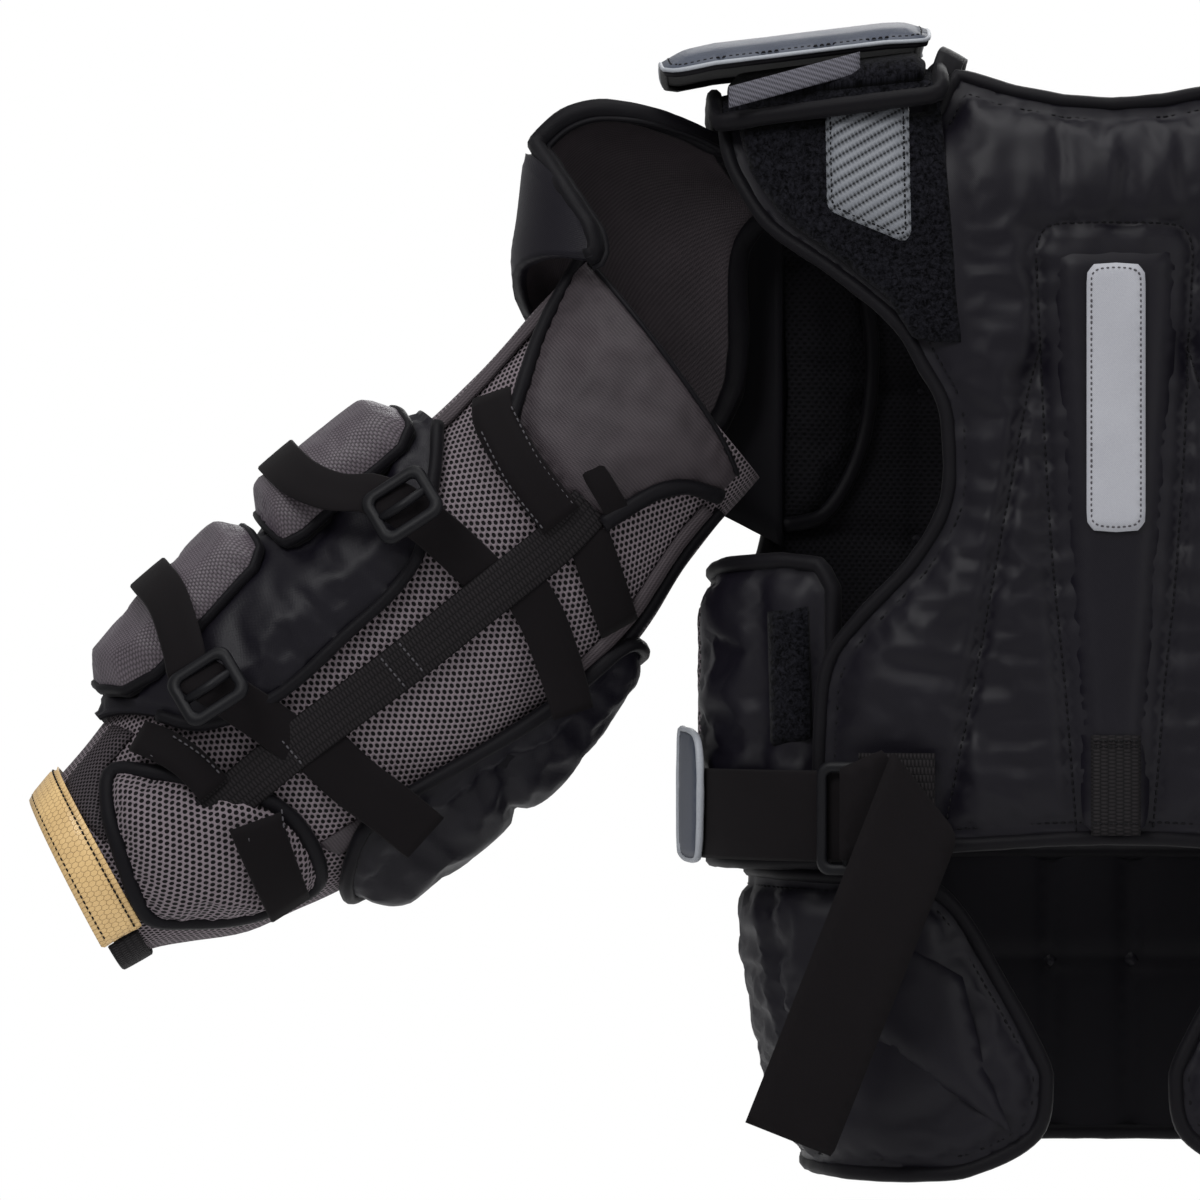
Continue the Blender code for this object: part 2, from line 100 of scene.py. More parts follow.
def look_up(table, at):
    """Values of a table at a place in its first column, smooth between the rows."""
    rows = np.array(table, float)
    at = min(max(at, rows[0, 0]), rows[-1, 0])
    index = min(int(np.searchsorted(rows[:, 0], at, side="right")) - 1, len(rows) - 2)
    low, high = rows[index], rows[index + 1]
    share = (at - low[0]) / (high[0] - low[0])
    before = rows[max(index - 1, 0)]
    after = rows[min(index + 2, len(rows) - 1)]
    span = high[0] - low[0]
    slope_low = (high[1:] - before[1:]) / max(high[0] - before[0], 1e-9) * span
    slope_high = (after[1:] - low[1:]) / max(after[0] - low[0], 1e-9) * span
    cube, square = share ** 3, share ** 2
    return ((2 * cube - 3 * square + 1) * low[1:] + (cube - 2 * square + share) * slope_low
            + (3 * square - 2 * cube) * high[1:] + (cube - square) * slope_high)


def even_line(points, step, closed=False):
    """Points spaced evenly along straight runs between the given points."""
    line = np.array(points, float)
    if closed:
        line = np.vstack([line, line[:1]])
    runs = np.linalg.norm(np.diff(line, axis=0), axis=1)
    reach = np.concatenate([[0.0], np.cumsum(runs)])
    count = max(int(round(reach[-1] / step)), 2)
    at = np.linspace(0.0, reach[-1], count + 1)
    if closed:
        at = at[:-1]
    return np.stack([np.interp(at, reach, line[:, axis]) for axis in range(line.shape[1])], 1)


def flowing_line(points, step, closed=False):
    """Points spaced evenly along a smooth curve through the given points."""
    base = np.array(points, float)
    count = len(base)
    spans = count if closed else count - 1
    made = []
    for index in range(spans):
        if closed:
            p0, p1, p2, p3 = (base[(index + k) % count] for k in (-1, 0, 1, 2))
        else:
            p0, p1 = base[max(index - 1, 0)], base[index]
            p2, p3 = base[index + 1], base[min(index + 2, count - 1)]
        for t in np.linspace(0, 1, 9)[:-1]:
            made.append(0.5 * (2 * p1 + (p2 - p0) * t + (2 * p0 - 5 * p1 + 4 * p2 - p3) * t * t
                               + (3 * p1 - p0 - 3 * p2 + p3) * t ** 3))
    if not closed:
        made.append(base[-1])
    return even_line(made, step, closed)


def both_sides(half):
    """Closed outline from its left half, which runs from the top middle to the bottom one."""
    right = [(-x, z) for x, z in reversed(half) if abs(x) > 1e-6]
    return list(half) + right


def nearest(points, line, closed=False):
    """Distance of each point to a line, and how far along the line its nearest place is."""
    line = np.array(line, float)
    if closed:
        line = np.vstack([line, line[:1]])
    start, run = line[:-1], np.diff(line, axis=0)
    length = np.linalg.norm(run, axis=1)
    reach = np.concatenate([[0.0], np.cumsum(length)])[:-1]
    to = points[:, None, :] - start[None]
    share = np.clip((to * run).sum(2) / np.maximum(length ** 2, 1e-12), 0, 1)
    gap = np.linalg.norm(to - share[..., None] * run, axis=2)
    best = gap.argmin(1)
    rows = np.arange(len(points))
    return gap[rows, best], reach[best] + share[rows, best] * length[best]


def inside(points, outline):
    x, y = points[:, 0][:, None], points[:, 1][:, None]
    ax, ay = outline[:, 0][None], outline[:, 1][None]
    bx, by = np.roll(outline[:, 0], -1)[None], np.roll(outline[:, 1], -1)[None]
    crosses = ((ay > y) != (by > y)) & (x < (bx - ax) * (y - ay) / (by - ay + 1e-15) + ax)
    return crosses.sum(1) % 2 == 1


def ripple(points, size, seed):
    """Smooth noise from -1 to 1, with its own size along each axis."""
    return np.array([noise.noise(Vector((p[0] / size[0], p[1] / size[1], seed)))
                     for p in points])


# ---- making pieces ------------------------------------------------------------------------
def new_piece(name, points, faces, face_uvs, finishes, face_finish=None):
    if name in bpy.data.objects:
        name += "_finished"
    mesh = bpy.data.meshes.new(name)
    mesh.from_pydata([tuple(p) for p in points], [], faces)
    for finish in finishes:
        mesh.materials.append(finish)
    layer = mesh.uv_layers.new(name="weave")
    layer.data.foreach_set("uv", np.array(face_uvs, np.float32).ravel())
    if face_finish is not None:
        mesh.polygons.foreach_set("material_index", face_finish)
    mesh.shade_smooth()
    piece = bpy.data.objects.new(name, mesh)
    bpy.context.scene.collection.objects.link(piece)
    work = bmesh.new()
    work.from_mesh(mesh)
    bmesh.ops.recalc_face_normals(work, faces=work.faces)
    work.to_mesh(mesh)
    work.free()
    return piece


def swell(outline, seams=(), full=0.012, edge=0.005, rise=0.018, dip=0.004, pucker=0.0008,
          crease=0.0008, crease_size=(0.05, 0.03), hem=0.008, seam_width=0.0055, seed=0.0,
          extra=None):
    """Height of a padded cloth over its outline, falling to its edge and to each seam."""
    def height(points):
        points = np.atleast_2d(np.array(points, float))
        to_edge, along_edge = nearest(points, outline, True)
        climb = np.clip((to_edge - hem) / rise, 0, 1)
        swelling = np.sin(climb * math.pi / 2) ** 0.8
        made = edge + (full - edge) * swelling
        made -= 0.0012 * np.exp(-((to_edge - hem) / 0.0018) ** 2)
        gather = np.exp(-np.abs(to_edge - hem) / 0.009) * (to_edge > hem * 0.6)
        fold = np.array([noise.noise(Vector((a / 0.0095, 0.3, seed))) for a in along_edge])
        made += pucker * gather * fold
        for number, seam in enumerate(seams):
            to_seam, along_seam = nearest(points, seam)
            valley = np.exp(-(to_seam / seam_width) ** 2)
            shoulder = np.exp(-(to_seam / (3.2 * seam_width)) ** 2)
            made -= dip * (0.72 * valley + 0.28 * shoulder) * swelling
            fold = np.array([noise.noise(Vector((a / 0.0095, 1.7 + number, seed)))
                             for a in along_seam])
            made += pucker * 1.3 * np.exp(-to_seam / 0.01) * fold * swelling
        made += crease * ripple(points, crease_size, seed + 5.1) * swelling
        made += 0.5 * crease * ripple(points, (0.017, 0.012), seed + 9.7) * swelling
        if extra is not None:
            made += extra(points) * swelling
        return made
    return height


def inflate(piece, sewn, slack, reach):
    """Blows a little extra cloth out between its seams, so that it wrinkles by itself."""
    count = len(piece.data.vertices)
    before = np.empty(count * 3, np.float32)
    piece.data.vertices.foreach_get("co", before)
    held = piece.vertex_groups.new(name="sewn")
    held.add([int(i) for i in sewn], 1.0, "REPLACE")
    cloth = piece.modifiers.new("inflation", "CLOTH")
    cloth.settings.quality = 4
    cloth.settings.mass = 0.15
    cloth.settings.tension_stiffness = 12
    cloth.settings.compression_stiffness = 12
    cloth.settings.shear_stiffness = 4
    cloth.settings.bending_stiffness = 0.05
    cloth.settings.air_damping = 4
    cloth.settings.use_pressure = True
    cloth.settings.uniform_pressure_force = 4
    cloth.settings.vertex_group_mass = "sewn"
    cloth.settings.shrink_min = -slack
    cloth.settings.effector_weights.gravity = 0
    cloth.collision_settings.use_collision = False
    cloth.collision_settings.use_self_collision = False
    cloth.point_cache.frame_start = 1
    cloth.point_cache.frame_end = 20
    for step in range(1, 21):
        bpy.context.scene.frame_set(step)
    graph = bpy.context.evaluated_depsgraph_get()
    after = np.empty(count * 3, np.float32)
    piece.evaluated_get(graph).data.vertices.foreach_get("co", after)
    piece.modifiers.clear()
    piece.vertex_groups.clear()
    move = (after - before).reshape(-1, 3)
    size = np.linalg.norm(move, axis=1)[:, None]
    move *= reach * np.tanh(size / reach) / np.maximum(size, 1e-9)
    piece.data.vertices.foreach_set("co", (before.reshape(-1, 3) + move).ravel())
    piece.data.update()
    bpy.context.scene.frame_set(1)


def flat_cloth(thick):
    """Height of a plain cloth of one thickness."""
    return lambda points: np.full(len(np.atleast_2d(points)), thick)


def pad(name, outline, place, height, finish, seams=(), step=0.005, underside=0.0,
        under_finish=None, under_dip=0.0, slack=0.0, sewn_edge=0.009, pressed=None):
    """A closed padded piece: cloth over an outline, raised to its height, and a flat underside.

    Slack is the share of extra cloth; the cloth stays sewn near its edge, along its seams and
    wherever pressed() says something lies on it.
    """
    outline = np.array(outline, float)
    points = [Vector(p) for p in outline]
    loop = list(range(len(outline)))
    fixed = [outline]
    for seam in seams:
        inner = np.array(seam, float)
        gap, _ = nearest(inner, outline, True)
        inner = inner[inside(inner, outline) & (gap > step * 0.4)]
        if len(inner):
            fixed.append(inner)
            points += [Vector(p) for p in inner]
    low, high = outline.min(0), outline.max(0)
    columns = np.arange(low[0] + step * 0.5, high[0], step)
    rows = np.arange(low[1] + step * 0.5, high[1], step * 0.87)
    grid = np.array([(x + (step * 0.5 if k % 2 else 0.0), y)
                     for k, y in enumerate(rows) for x in columns])
    keep = inside(grid, outline)
    for line in fixed:
        gap = np.min(np.linalg.norm(grid[:, None] - line[None], axis=2), axis=1)
        keep &= gap > step * 0.55
    points += [Vector(p) for p in grid[keep]]
    flat, _, triangles, _, _, _ = geometry.delaunay_2d_cdt(points, [], [loop], 1, 1e-6)
    flat = np.array([tuple(p) for p in flat])
    heights = height(flat)
    to_edge, _ = nearest(flat, outline, True)
    under = np.full(len(flat), underside)
    sewn = to_edge < sewn_edge
    if pressed is not None:
        sewn |= pressed(flat)
    for seam in seams:
        to_seam, _ = nearest(flat, seam)
        under = under + under_dip * np.exp(-(to_seam / 0.006) ** 2)
        sewn |= to_seam < 0.0016
    top = [place(p[0], p[1], h) for p, h in zip(flat, heights)]
    bottom = [place(p[0], p[1], u) for p, u in zip(flat, under)]
    count = len(flat)
    faces = [tuple(t) for t in triangles]
    uses = {}
    for t in triangles:
        for k in range(3):
            key = (t[k], t[(k + 1) % 3])
            uses[key] = uses.get(key, 0) + 1
    rim = [key for key in uses if (key[1], key[0]) not in uses]
    faces += [tuple(count + i for i in reversed(t)) for t in triangles]
    faces += [(b, a, count + a, count + b) for a, b in rim]
    uvs = []
    for face in faces:
        uvs += [tuple(flat[i % count]) for i in face]
    finishes = [finish] + ([under_finish] if under_finish else [])
    marks = None
    if under_finish:
        marks = [0] * len(triangles) + [1] * len(triangles) + [1] * len(rim)
    piece = new_piece(name, top + bottom, faces, uvs, finishes, marks)
    if slack:
        inflate(piece, np.flatnonzero(np.concatenate([sewn, np.full(count, True)])), slack,
                0.003)
    return piece


def lattice(name, rows, uvs, finish, wrap=False, thick=0.0, inner_finish=None):
    """A sheet through rows of points, thickened towards its inner side."""
    down, across = len(rows), len(rows[0])
    points = [p for row in rows for p in row]
    faces, face_uvs = [], []
    last = across if wrap else across - 1
    for i in range(down - 1):
        for j in range(last):
            k = (j + 1) % across
            faces.append((i * across + j, i * across + k, (i + 1) * across + k,
                          (i + 1) * across + j))
            face_uvs += [uvs[i][j], uvs[i][j + 1], uvs[i + 1][j + 1], uvs[i + 1][j]]
    piece = new_piece(name, points, faces, face_uvs,
                      [finish] + ([inner_finish] if inner_finish else []))
    if thick:
        solid = piece.modifiers.new("cloth thickness", "SOLIDIFY")
        solid.thickness = thick
        solid.offset = -1.0
        solid.use_even_offset = False
        if inner_finish:
            solid.material_offset = 1
            solid.material_offset_rim = 1
    return piece


def band(name, centres, across, width, thick, finish, taper=None):
    """A flat strap along a line of centres, with rounded edges; its weave runs in metres."""
    centres = [Vector(c) for c in centres]
    across = [Vector(a).normalized() for a in across]
    ring = []
    for side, lift in ((-0.5, 0.0), (-0.46, 0.42), (-0.2, 0.5), (0.2, 0.5), (0.46, 0.42),
                       (0.5, 0.0), (0.46, -0.42), (0.2, -0.5), (-0.2, -0.5), (-0.46, -0.42)):
        ring.append((side, lift))
    rows, uvs, reach = [], [], 0.0
    for i, centre in enumerate(centres):
        ahead = centres[min(i + 1, len(centres) - 1)] - centres[max(i - 1, 0)]
        if i:
            reach += (centre - centres[i - 1]).length
        up = across[i].cross(ahead).normalized()
        wide = width * (taper[i] if taper else 1.0)
        rows.append([centre + across[i] * wide * s + up * thick * l for s, l in ring])
        uvs.append([(wide * s, reach) for s, _ in ring] + [(-wide * 0.5, reach)])
    piece = lattice(name, rows, uvs, finish, wrap=True)
    close_ends(piece, len(ring))
    return piece


def joined_cloth(name, first, second, bow, finish, thick):
    """Cloth sewn between two lines of points, bowed out between them."""
    rows, uvs = [], []
    for start, end in zip(first, second):
        row, marks = [], []
        for k in range(12):
            across = k / 11
            ruck = 0.003 * noise.noise(start * 28 + Vector((across * 2.5, 0, 8.0)))
            lift = math.sin(math.pi * across) * (1 + ruck / 0.004)
            row.append(start.lerp(end, across) + bow * lift)
            marks.append((across * (end - start).length, start.x + start.z))
        rows.append(row)
        uvs.append(marks + [marks[-1]])
    return lattice(name, rows, uvs, finish, thick=thick)


def close_ends(piece, around):
    """Closes both ends of a tube made by lattice()."""
    work = bmesh.new()
    work.from_mesh(piece.data)
    work.verts.ensure_lookup_table()
    layer = work.loops.layers.uv.active
    total = len(work.verts)
    for first in (0, total - around):
        ring = [work.verts[first + k] for k in range(around)]
        face = work.faces.new(ring)
        face.smooth = True
        for loop in face.loops:
            loop[layer].uv = (loop.vert.co.x, loop.vert.co.z)
    bmesh.ops.recalc_face_normals(work, faces=work.faces)
    work.to_mesh(piece.data)
    work.free()


def cord_tube(name, centres, outs, half_wide, half_thick, finish, closed=False):
    """A rolled binding or piping along a line; outs point away from the cloth below it."""
    centres = [Vector(c) for c in centres]
    count, sides = len(centres), 10
    rows, uvs, reach = [], [], 0.0
    order = list(range(count)) + ([0] if closed else [])
    for i, index in enumerate(order):
        before = centres[(index - 1) % count] if closed else centres[max(index - 1, 0)]
        after = centres[(index + 1) % count] if closed else centres[min(index + 1, count - 1)]
        run = (after - before).normalized()
        out = Vector(outs[index])
        out = (out - run * out.dot(run)).normalized()
        side = run.cross(out)
        if i:
            reach += (centres[index] - centres[order[i - 1]]).length
        ring = []
        gather = 1 + 0.1 * noise.noise(centres[index] * 90)
        for k in range(sides):
            angle = 2 * math.pi * k / sides
            ring.append(centres[index] + side * half_wide * gather * math.cos(angle)
                        + out * half_thick * gather * math.sin(angle))
        rows.append(ring)
        girth = math.pi * (half_wide + half_thick)
        uvs.append([(girth * k / sides, reach) for k in range(sides + 1)])
    piece = lattice(name, rows, uvs, finish, wrap=True)
    if closed:
        work = bmesh.new()
        work.from_mesh(piece.data)
        bmesh.ops.remove_doubles(work, verts=work.verts, dist=1e-6)
        bmesh.ops.recalc_face_normals(work, faces=work.faces)
        work.to_mesh(piece.data)
        work.free()
    else:
        close_ends(piece, sides)
    return piece


def edge_binding(name, line, place, middle, half_wide, half_thick, finish, closed=True):
    """Rolled binding over the edge of a pad laid out flat as a line."""
    centres = [place(p[0], p[1], middle) for p in line]
    outs = [place(p[0], p[1], middle + 0.002) - place(p[0], p[1], middle) for p in line]
    return cord_tube(name, centres, outs, half_wide, half_thick, finish, closed)


def stitches(name, lines, finish, pitch=0.0044, length=0.003, thick=0.00055):
    """Rows of thread: each line is a list of points with the direction off the cloth."""
    points, faces, uvs = [], [], []
    for line in lines:
        spots = np.array([tuple(p) for p, _ in line])
        outs = np.array([tuple(o) for _, o in line])
        runs = np.linalg.norm(np.diff(spots, axis=0), axis=1)
        reach = np.concatenate([[0.0], np.cumsum(runs)])
        at = np.arange(pitch * 0.5, reach[-1] - length * 0.5, pitch)
        for centre in at:
            ends = []
            for shift in (-0.5, -0.3, 0.3, 0.5):
                place = centre + shift * length
                spot = [np.interp(place, reach, spots[:, k]) for k in range(3)]
                out = [np.interp(centre, reach, outs[:, k]) for k in range(3)]
                ends.append((Vector(spot), Vector(out).normalized()))
            run = (ends[-1][0] - ends[0][0]).normalized()
            side = run.cross(ends[0][1]).normalized()
            base = len(points)
            for k, (spot, out) in enumerate(ends):
                fat = thick * (0.45 if k in (0, 3) else 1.0)
                sink = -0.0004 if k in (0, 3) else 0.0002
                middle = spot + out * sink
                points += [middle + side * fat, middle + out * fat, middle - side * fat,
                           middle - out * fat]
            for k in range(3):
                for q in range(4):
                    a, b = base + 4 * k + q, base + 4 * k + (q + 1) % 4
                    faces.append((a, b, b + 4, a + 4))
            faces += [(base, base + 3, base + 2, base + 1),
                      (base + 12, base + 13, base + 14, base + 15)]
            uvs += [(0.0, 0.0), (0.0004, 0.0), (0.0004, 0.001), (0.0, 0.001)] * 14
    return new_piece(name, points, faces, uvs, [finish])


def row_on(line, place, height, above=0.0003):
    """A stitch row on a pad: each place on the cloth and the direction off it."""
    heights = height(line)
    made = []
    for p, h in zip(line, heights):
        spot = place(p[0], p[1], h + above)
        made.append((spot, place(p[0], p[1], h + 0.003) - place(p[0], p[1], h)))
    return made


def edge_row(outline, inset, step, place, height, above=0.0003):
    """A stitch row all round a pad, set in from its edge."""
    inner = inset_line(outline, inset)
    return row_on(even_line(list(inner) + [inner[0]], step), place, height, above)


def slide_frame(name, width, height, wall, thick, matrix, finish):
    """A moulded webbing slide: a rounded frame with a bar between its slots."""
    def oval(wide, tall, corner, z, count=8):
        ring = []
        for quarter in range(4):
            cx = (wide / 2 - corner) * (1 if quarter in (0, 3) else -1)
            cy = (tall / 2 - corner) * (1 if quarter in (0, 1) else -1)
            for step in range(count):
                angle = math.pi / 2 * (quarter + step / (count - 1))
                ring.append((cx + corner * math.cos(angle), cy + corner * math.sin(angle), z))
        return ring
    half = thick / 2
    rows = [oval(width - 2 * wall, height - 2 * wall, 0.0035, half * 0.55),
            oval(width - 1.55 * wall, height - 1.55 * wall, 0.0045, half),
            oval(width - 0.5 * wall, height - 0.5 * wall, 0.0065, half),
            oval(width, height, 0.0075, half * 0.35),
            oval(width, height, 0.0075, -half * 0.35),
            oval(width - 0.5 * wall, height - 0.5 * wall, 0.0065, -half),
            oval(width - 1.55 * wall, height - 1.55 * wall, 0.0045, -half),
            oval(width - 2 * wall, height - 2 * wall, 0.0035, -half * 0.55)]
    rows.append(rows[0])
    around = len(rows[0])
    uvs = [[(k * 0.004, i * 0.003) for k in range(around + 1)] for i in range(len(rows))]
    piece = lattice(name, [[Vector(p) for p in row] for row in rows], uvs, finish, wrap=True)
    work = bmesh.new()
    work.from_mesh(piece.data)
    bmesh.ops.remove_doubles(work, verts=work.verts, dist=1e-5)
    layer = work.loops.layers.uv.active
    sides = 12
    ends = []
    for y in (-height / 2 + wall * 0.8, height / 2 - wall * 0.8):
        ends.append([work.verts.new((wall * 0.42 * math.cos(2 * math.pi * k / sides), y,
                                     half * 0.9 * math.sin(2 * math.pi * k / sides)))
                     for k in range(sides)])
    for k in range(sides):
        face = work.faces.new((ends[0][k], ends[0][(k + 1) % sides],
                               ends[1][(k + 1) % sides], ends[1][k]))
        for loop in face.loops:
            loop[layer].uv = (loop.vert.co.x, loop.vert.co.y)
    work.faces.new(ends[0])
    work.faces.new(list(reversed(ends[1])))
    bmesh.ops.recalc_face_normals(work, faces=work.faces)
    for face in work.faces:
        face.smooth = True
    bmesh.ops.transform(work, matrix=matrix, verts=work.verts)
    work.to_mesh(piece.data)
    work.free()
    return piece


def twin(piece, name):
    """The wearer's right-hand copy of a left-hand piece."""
    mesh = piece.data.copy()
    mesh.transform(Matrix.Scale(-1, 4, Vector((1, 0, 0))))
    mesh.flip_normals()
    copy = bpy.data.objects.new(name, mesh)
    bpy.context.scene.collection.objects.link(copy)
    return copy


def fix_shape(piece):
    """Turns a piece's modifiers into its mesh."""
    if not piece.modifiers:
        return
    bpy.context.view_layer.update()
    graph = bpy.context.evaluated_depsgraph_get()
    mesh = bpy.data.meshes.new_from_object(piece.evaluated_get(graph),
                                           preserve_all_data_layers=True, depsgraph=graph)
    piece.modifiers.clear()
    piece.data = mesh


def settle(piece, body, slot, nodes=(), fill=None, bend=None, sheet=None, side=""):
    """Hangs a piece on the body that carries it and hides the model parts it stands for; a piece
    that spans a bend only has its placing baked into its mesh.
    """
    mirror = -1 if side == "right_" else 1
    if bend:
        first, second, start, end = bend
        ends = [(p[0] * mirror, p[1], p[2]) for p in (start, end)]
        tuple(ends[0])
        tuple(ends[1])
        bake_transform(piece)
    else:
        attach(piece, side + body if body in ON_ARM else body)
    if nodes:
        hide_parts(*[n.replace("left_", side) if side else n for n in nodes])


def pair(piece, body, slot, **facts):
    """Settles a left piece and its right twin."""
    fix_shape(piece)
    copy = twin(piece, piece.name.replace("left_", "right_"))
    settle(piece, body, slot, side="left_", **facts)
    settle(copy, body, slot, side="right_", **facts)


def bind_edge(name, line, place, middle, half_wide, half_thick, body, closed=True):
    """Rolled binding on a left piece's edge, and its right twin."""
    pair(edge_binding(name, line, place, middle, half_wide, half_thick, BINDING, closed),
         body, "satin_nylon")


# ---- finishes -----------------------------------------------------------------------------
def tone(red, green, blue):
    """A colour from its display values, 0 to 255."""
    made = []
    for value in (red, green, blue):
        share = value / 255
        made.append(share / 12.92 if share <= 0.04045 else ((share + 0.055) / 1.055) ** 2.4)
    return (*made, 1.0)


def add(tree, kind, values=None, **settings):
    node = tree.nodes.new(kind)
    for key, value in settings.items():
        setattr(node, key, value)
    for key, value in (values or {}).items():
        if isinstance(value, bpy.types.NodeSocket):
            tree.links.new(value, node.inputs[key])
        else:
            node.inputs[key].default_value = value
    return node


def maths(tree, operation, first, second=0.0, third=0.0):
    node = add(tree, "ShaderNodeMath", {0: first, 1: second, 2: third}, operation=operation)
    return node.outputs[0]


def start_group(name, inputs, outputs):
    tree = bpy.data.node_groups.new(name, "ShaderNodeTree")
    for label, kind, value in inputs:
        socket = tree.interface.new_socket(label, in_out="INPUT", socket_type=kind)
        if value is not None:
            socket.default_value = value
    for label in outputs:
        tree.interface.new_socket(label, in_out="OUTPUT", socket_type="NodeSocketFloat")
    return tree, tree.nodes.new("NodeGroupInput"), tree.nodes.new("NodeGroupOutput")


def flat_place(tree, source, pitch):
    scaled = add(tree, "ShaderNodeVectorMath", {0: source.outputs["Place"]}, operation="SCALE")
    tree.links.new(maths(tree, "DIVIDE", 1.0, pitch), scaled.inputs["Scale"])
    split = add(tree, "ShaderNodeSeparateXYZ", {0: scaled.outputs[0]})
    return split.outputs[0], split.outputs[1]


def group_crossed_weave():
    """Threads crossing over and under; Slant turns it into a twill."""
    tree, source, out = start_group(
        "crossed weave", [("Place", "NodeSocketVector", None), ("Pitch", "NodeSocketFloat", 0.001),
                          ("Slant", "NodeSocketFloat", 0.0)], ["Height"])
    u, v = flat_place(tree, source, source.outputs["Pitch"])
    leaning = maths(tree, "MULTIPLY_ADD", v, source.outputs["Slant"], u)
    a = maths(tree, "SINE", maths(tree, "MULTIPLY", leaning, 2 * math.pi))
    b = maths(tree, "SINE", maths(tree, "MULTIPLY", v, 2 * math.pi))
    both = maths(tree, "MULTIPLY", a, b)
    tree.links.new(maths(tree, "MULTIPLY_ADD", both, 0.5, 0.5), out.inputs["Height"])
    return tree


def group_ribs():
    """Cords lying across a strap, nipped at each warp thread."""
    tree, source, out = start_group(
        "strap ribs", [("Place", "NodeSocketVector", None), ("Pitch", "NodeSocketFloat", 0.0016),
                       ("Nip", "NodeSocketFloat", 0.0013)], ["Height"])
    _, v = flat_place(tree, source, source.outputs["Pitch"])
    u, _ = flat_place(tree, source, source.outputs["Nip"])
    column = maths(tree, "FLOOR", u)
    shift = maths(tree, "MULTIPLY", maths(tree, "MODULO", column, 2.0), 0.5)
    cord = maths(tree, "ABSOLUTE",
                 maths(tree, "SINE", maths(tree, "MULTIPLY", maths(tree, "ADD", v, shift),
                                           math.pi)))
    nip = maths(tree, "ABSOLUTE", maths(tree, "SINE", maths(tree, "MULTIPLY", u, math.pi)))
    height = maths(tree, "MULTIPLY", cord, maths(tree, "POWER", nip, 0.5))
    tree.links.new(height, out.inputs["Height"])
    return tree


def group_open_knit():
    """Spacer fabric: oval holes in staggered rows. Hole is 1 inside a hole."""
    tree, source, out = start_group(
        "open knit", [("Place", "NodeSocketVector", None), ("Pitch", "NodeSocketFloat", 0.005),
                      ("Open", "NodeSocketFloat", 0.33)], ["Hole", "Height"])
    u, v = flat_place(tree, source, source.outputs["Pitch"])
    v = maths(tree, "MULTIPLY", v, 1.55)
    row = maths(tree, "FLOOR", v)
    odd = maths(tree, "ABSOLUTE", maths(tree, "MODULO", row, 2.0))
    u = maths(tree, "ADD", u, maths(tree, "MULTIPLY", odd, 0.5))
    du = maths(tree, "SUBTRACT", maths(tree, "FRACT", u), 0.5)
    dv = maths(tree, "MULTIPLY", maths(tree, "SUBTRACT", maths(tree, "FRACT", v), 0.5), 0.78)
    gap = maths(tree, "SQRT", maths(tree, "ADD", maths(tree, "MULTIPLY", du, du),
                                    maths(tree, "MULTIPLY", dv, dv)))
    inner = maths(tree, "SUBTRACT", source.outputs["Open"], 0.07)
    ramp = add(tree, "ShaderNodeMapRange", {"Value": gap, "From Min": inner,
                                            "From Max": source.outputs["Open"],
                                            "To Min": 1.0, "To Max": 0.0},
               interpolation_type="SMOOTHSTEP")
    tree.links.new(ramp.outputs[0], out.inputs["Hole"])
    mound = add(tree, "ShaderNodeMapRange", {"Value": gap, "From Min": 0.15, "From Max": 0.6})
    tree.links.new(mound.outputs[0], out.inputs["Height"])
    return tree


def group_honeycomb():
    """Six-sided cells. Line is 1 along their walls."""
    tree, source, out = start_group(
        "honeycomb", [("Place", "NodeSocketVector", None), ("Pitch", "NodeSocketFloat", 0.004)],
        ["Line", "Dome"])
    u, v = flat_place(tree, source, source.outputs["Pitch"])
    v = maths(tree, "DIVIDE", v, math.sqrt(3))
    reaches = []
    for shift in (0.0, 0.5):
        x = maths(tree, "ABSOLUTE", maths(tree, "SUBTRACT", maths(
            tree, "FRACT", maths(tree, "ADD", u, shift)), 0.5))
        y = maths(tree, "MULTIPLY", maths(tree, "ABSOLUTE", maths(
            tree, "SUBTRACT", maths(tree, "FRACT", maths(tree, "ADD", v, shift)), 0.5)),
            math.sqrt(3))
        slope = maths(tree, "ADD", maths(tree, "MULTIPLY", x, 0.5),
                      maths(tree, "MULTIPLY", y, 0.866))
        reaches.append(maths(tree, "MAXIMUM", x, slope))
    reach = maths(tree, "MINIMUM", reaches[0], reaches[1])
    wall = add(tree, "ShaderNodeMapRange", {"Value": reach, "From Min": 0.42, "From Max": 0.49},
               interpolation_type="SMOOTHSTEP")
    tree.links.new(wall.outputs[0], out.inputs["Line"])
    tree.links.new(maths(tree, "SUBTRACT", 1.0, reach), out.inputs["Dome"])
    return tree


def group_drift():
    """Slow random change of tone over a cloth, with faint rubbed spots. Turned up strongly, as on
    the grey lining, the slow change is painted light and shade of soft wrinkles.
    """
    tree, source, out = start_group(
        "shade drift", [("Place", "NodeSocketVector", None), ("Size", "NodeSocketFloat", 0.05)],
        ["Shade", "Rub"])
    scale = maths(tree, "DIVIDE", 1.0, source.outputs["Size"])
    slow = add(tree, "ShaderNodeTexNoise", {"Vector": source.outputs["Place"], "Scale": scale,
                                            "Detail": 3.0, "Roughness": 0.6})
    tree.links.new(slow.outputs[0], out.inputs["Shade"])
    quick = maths(tree, "MULTIPLY", scale, 14.0)
    fine = add(tree, "ShaderNodeTexNoise", {"Vector": source.outputs["Place"], "Scale": quick,
                                            "Detail": 4.0, "Roughness": 0.7})
    rub = add(tree, "ShaderNodeMapRange", {"Value": fine.outputs[0], "From Min": 0.62,
                                           "From Max": 0.78})
    tree.links.new(rub.outputs[0], out.inputs["Rub"])
    return tree


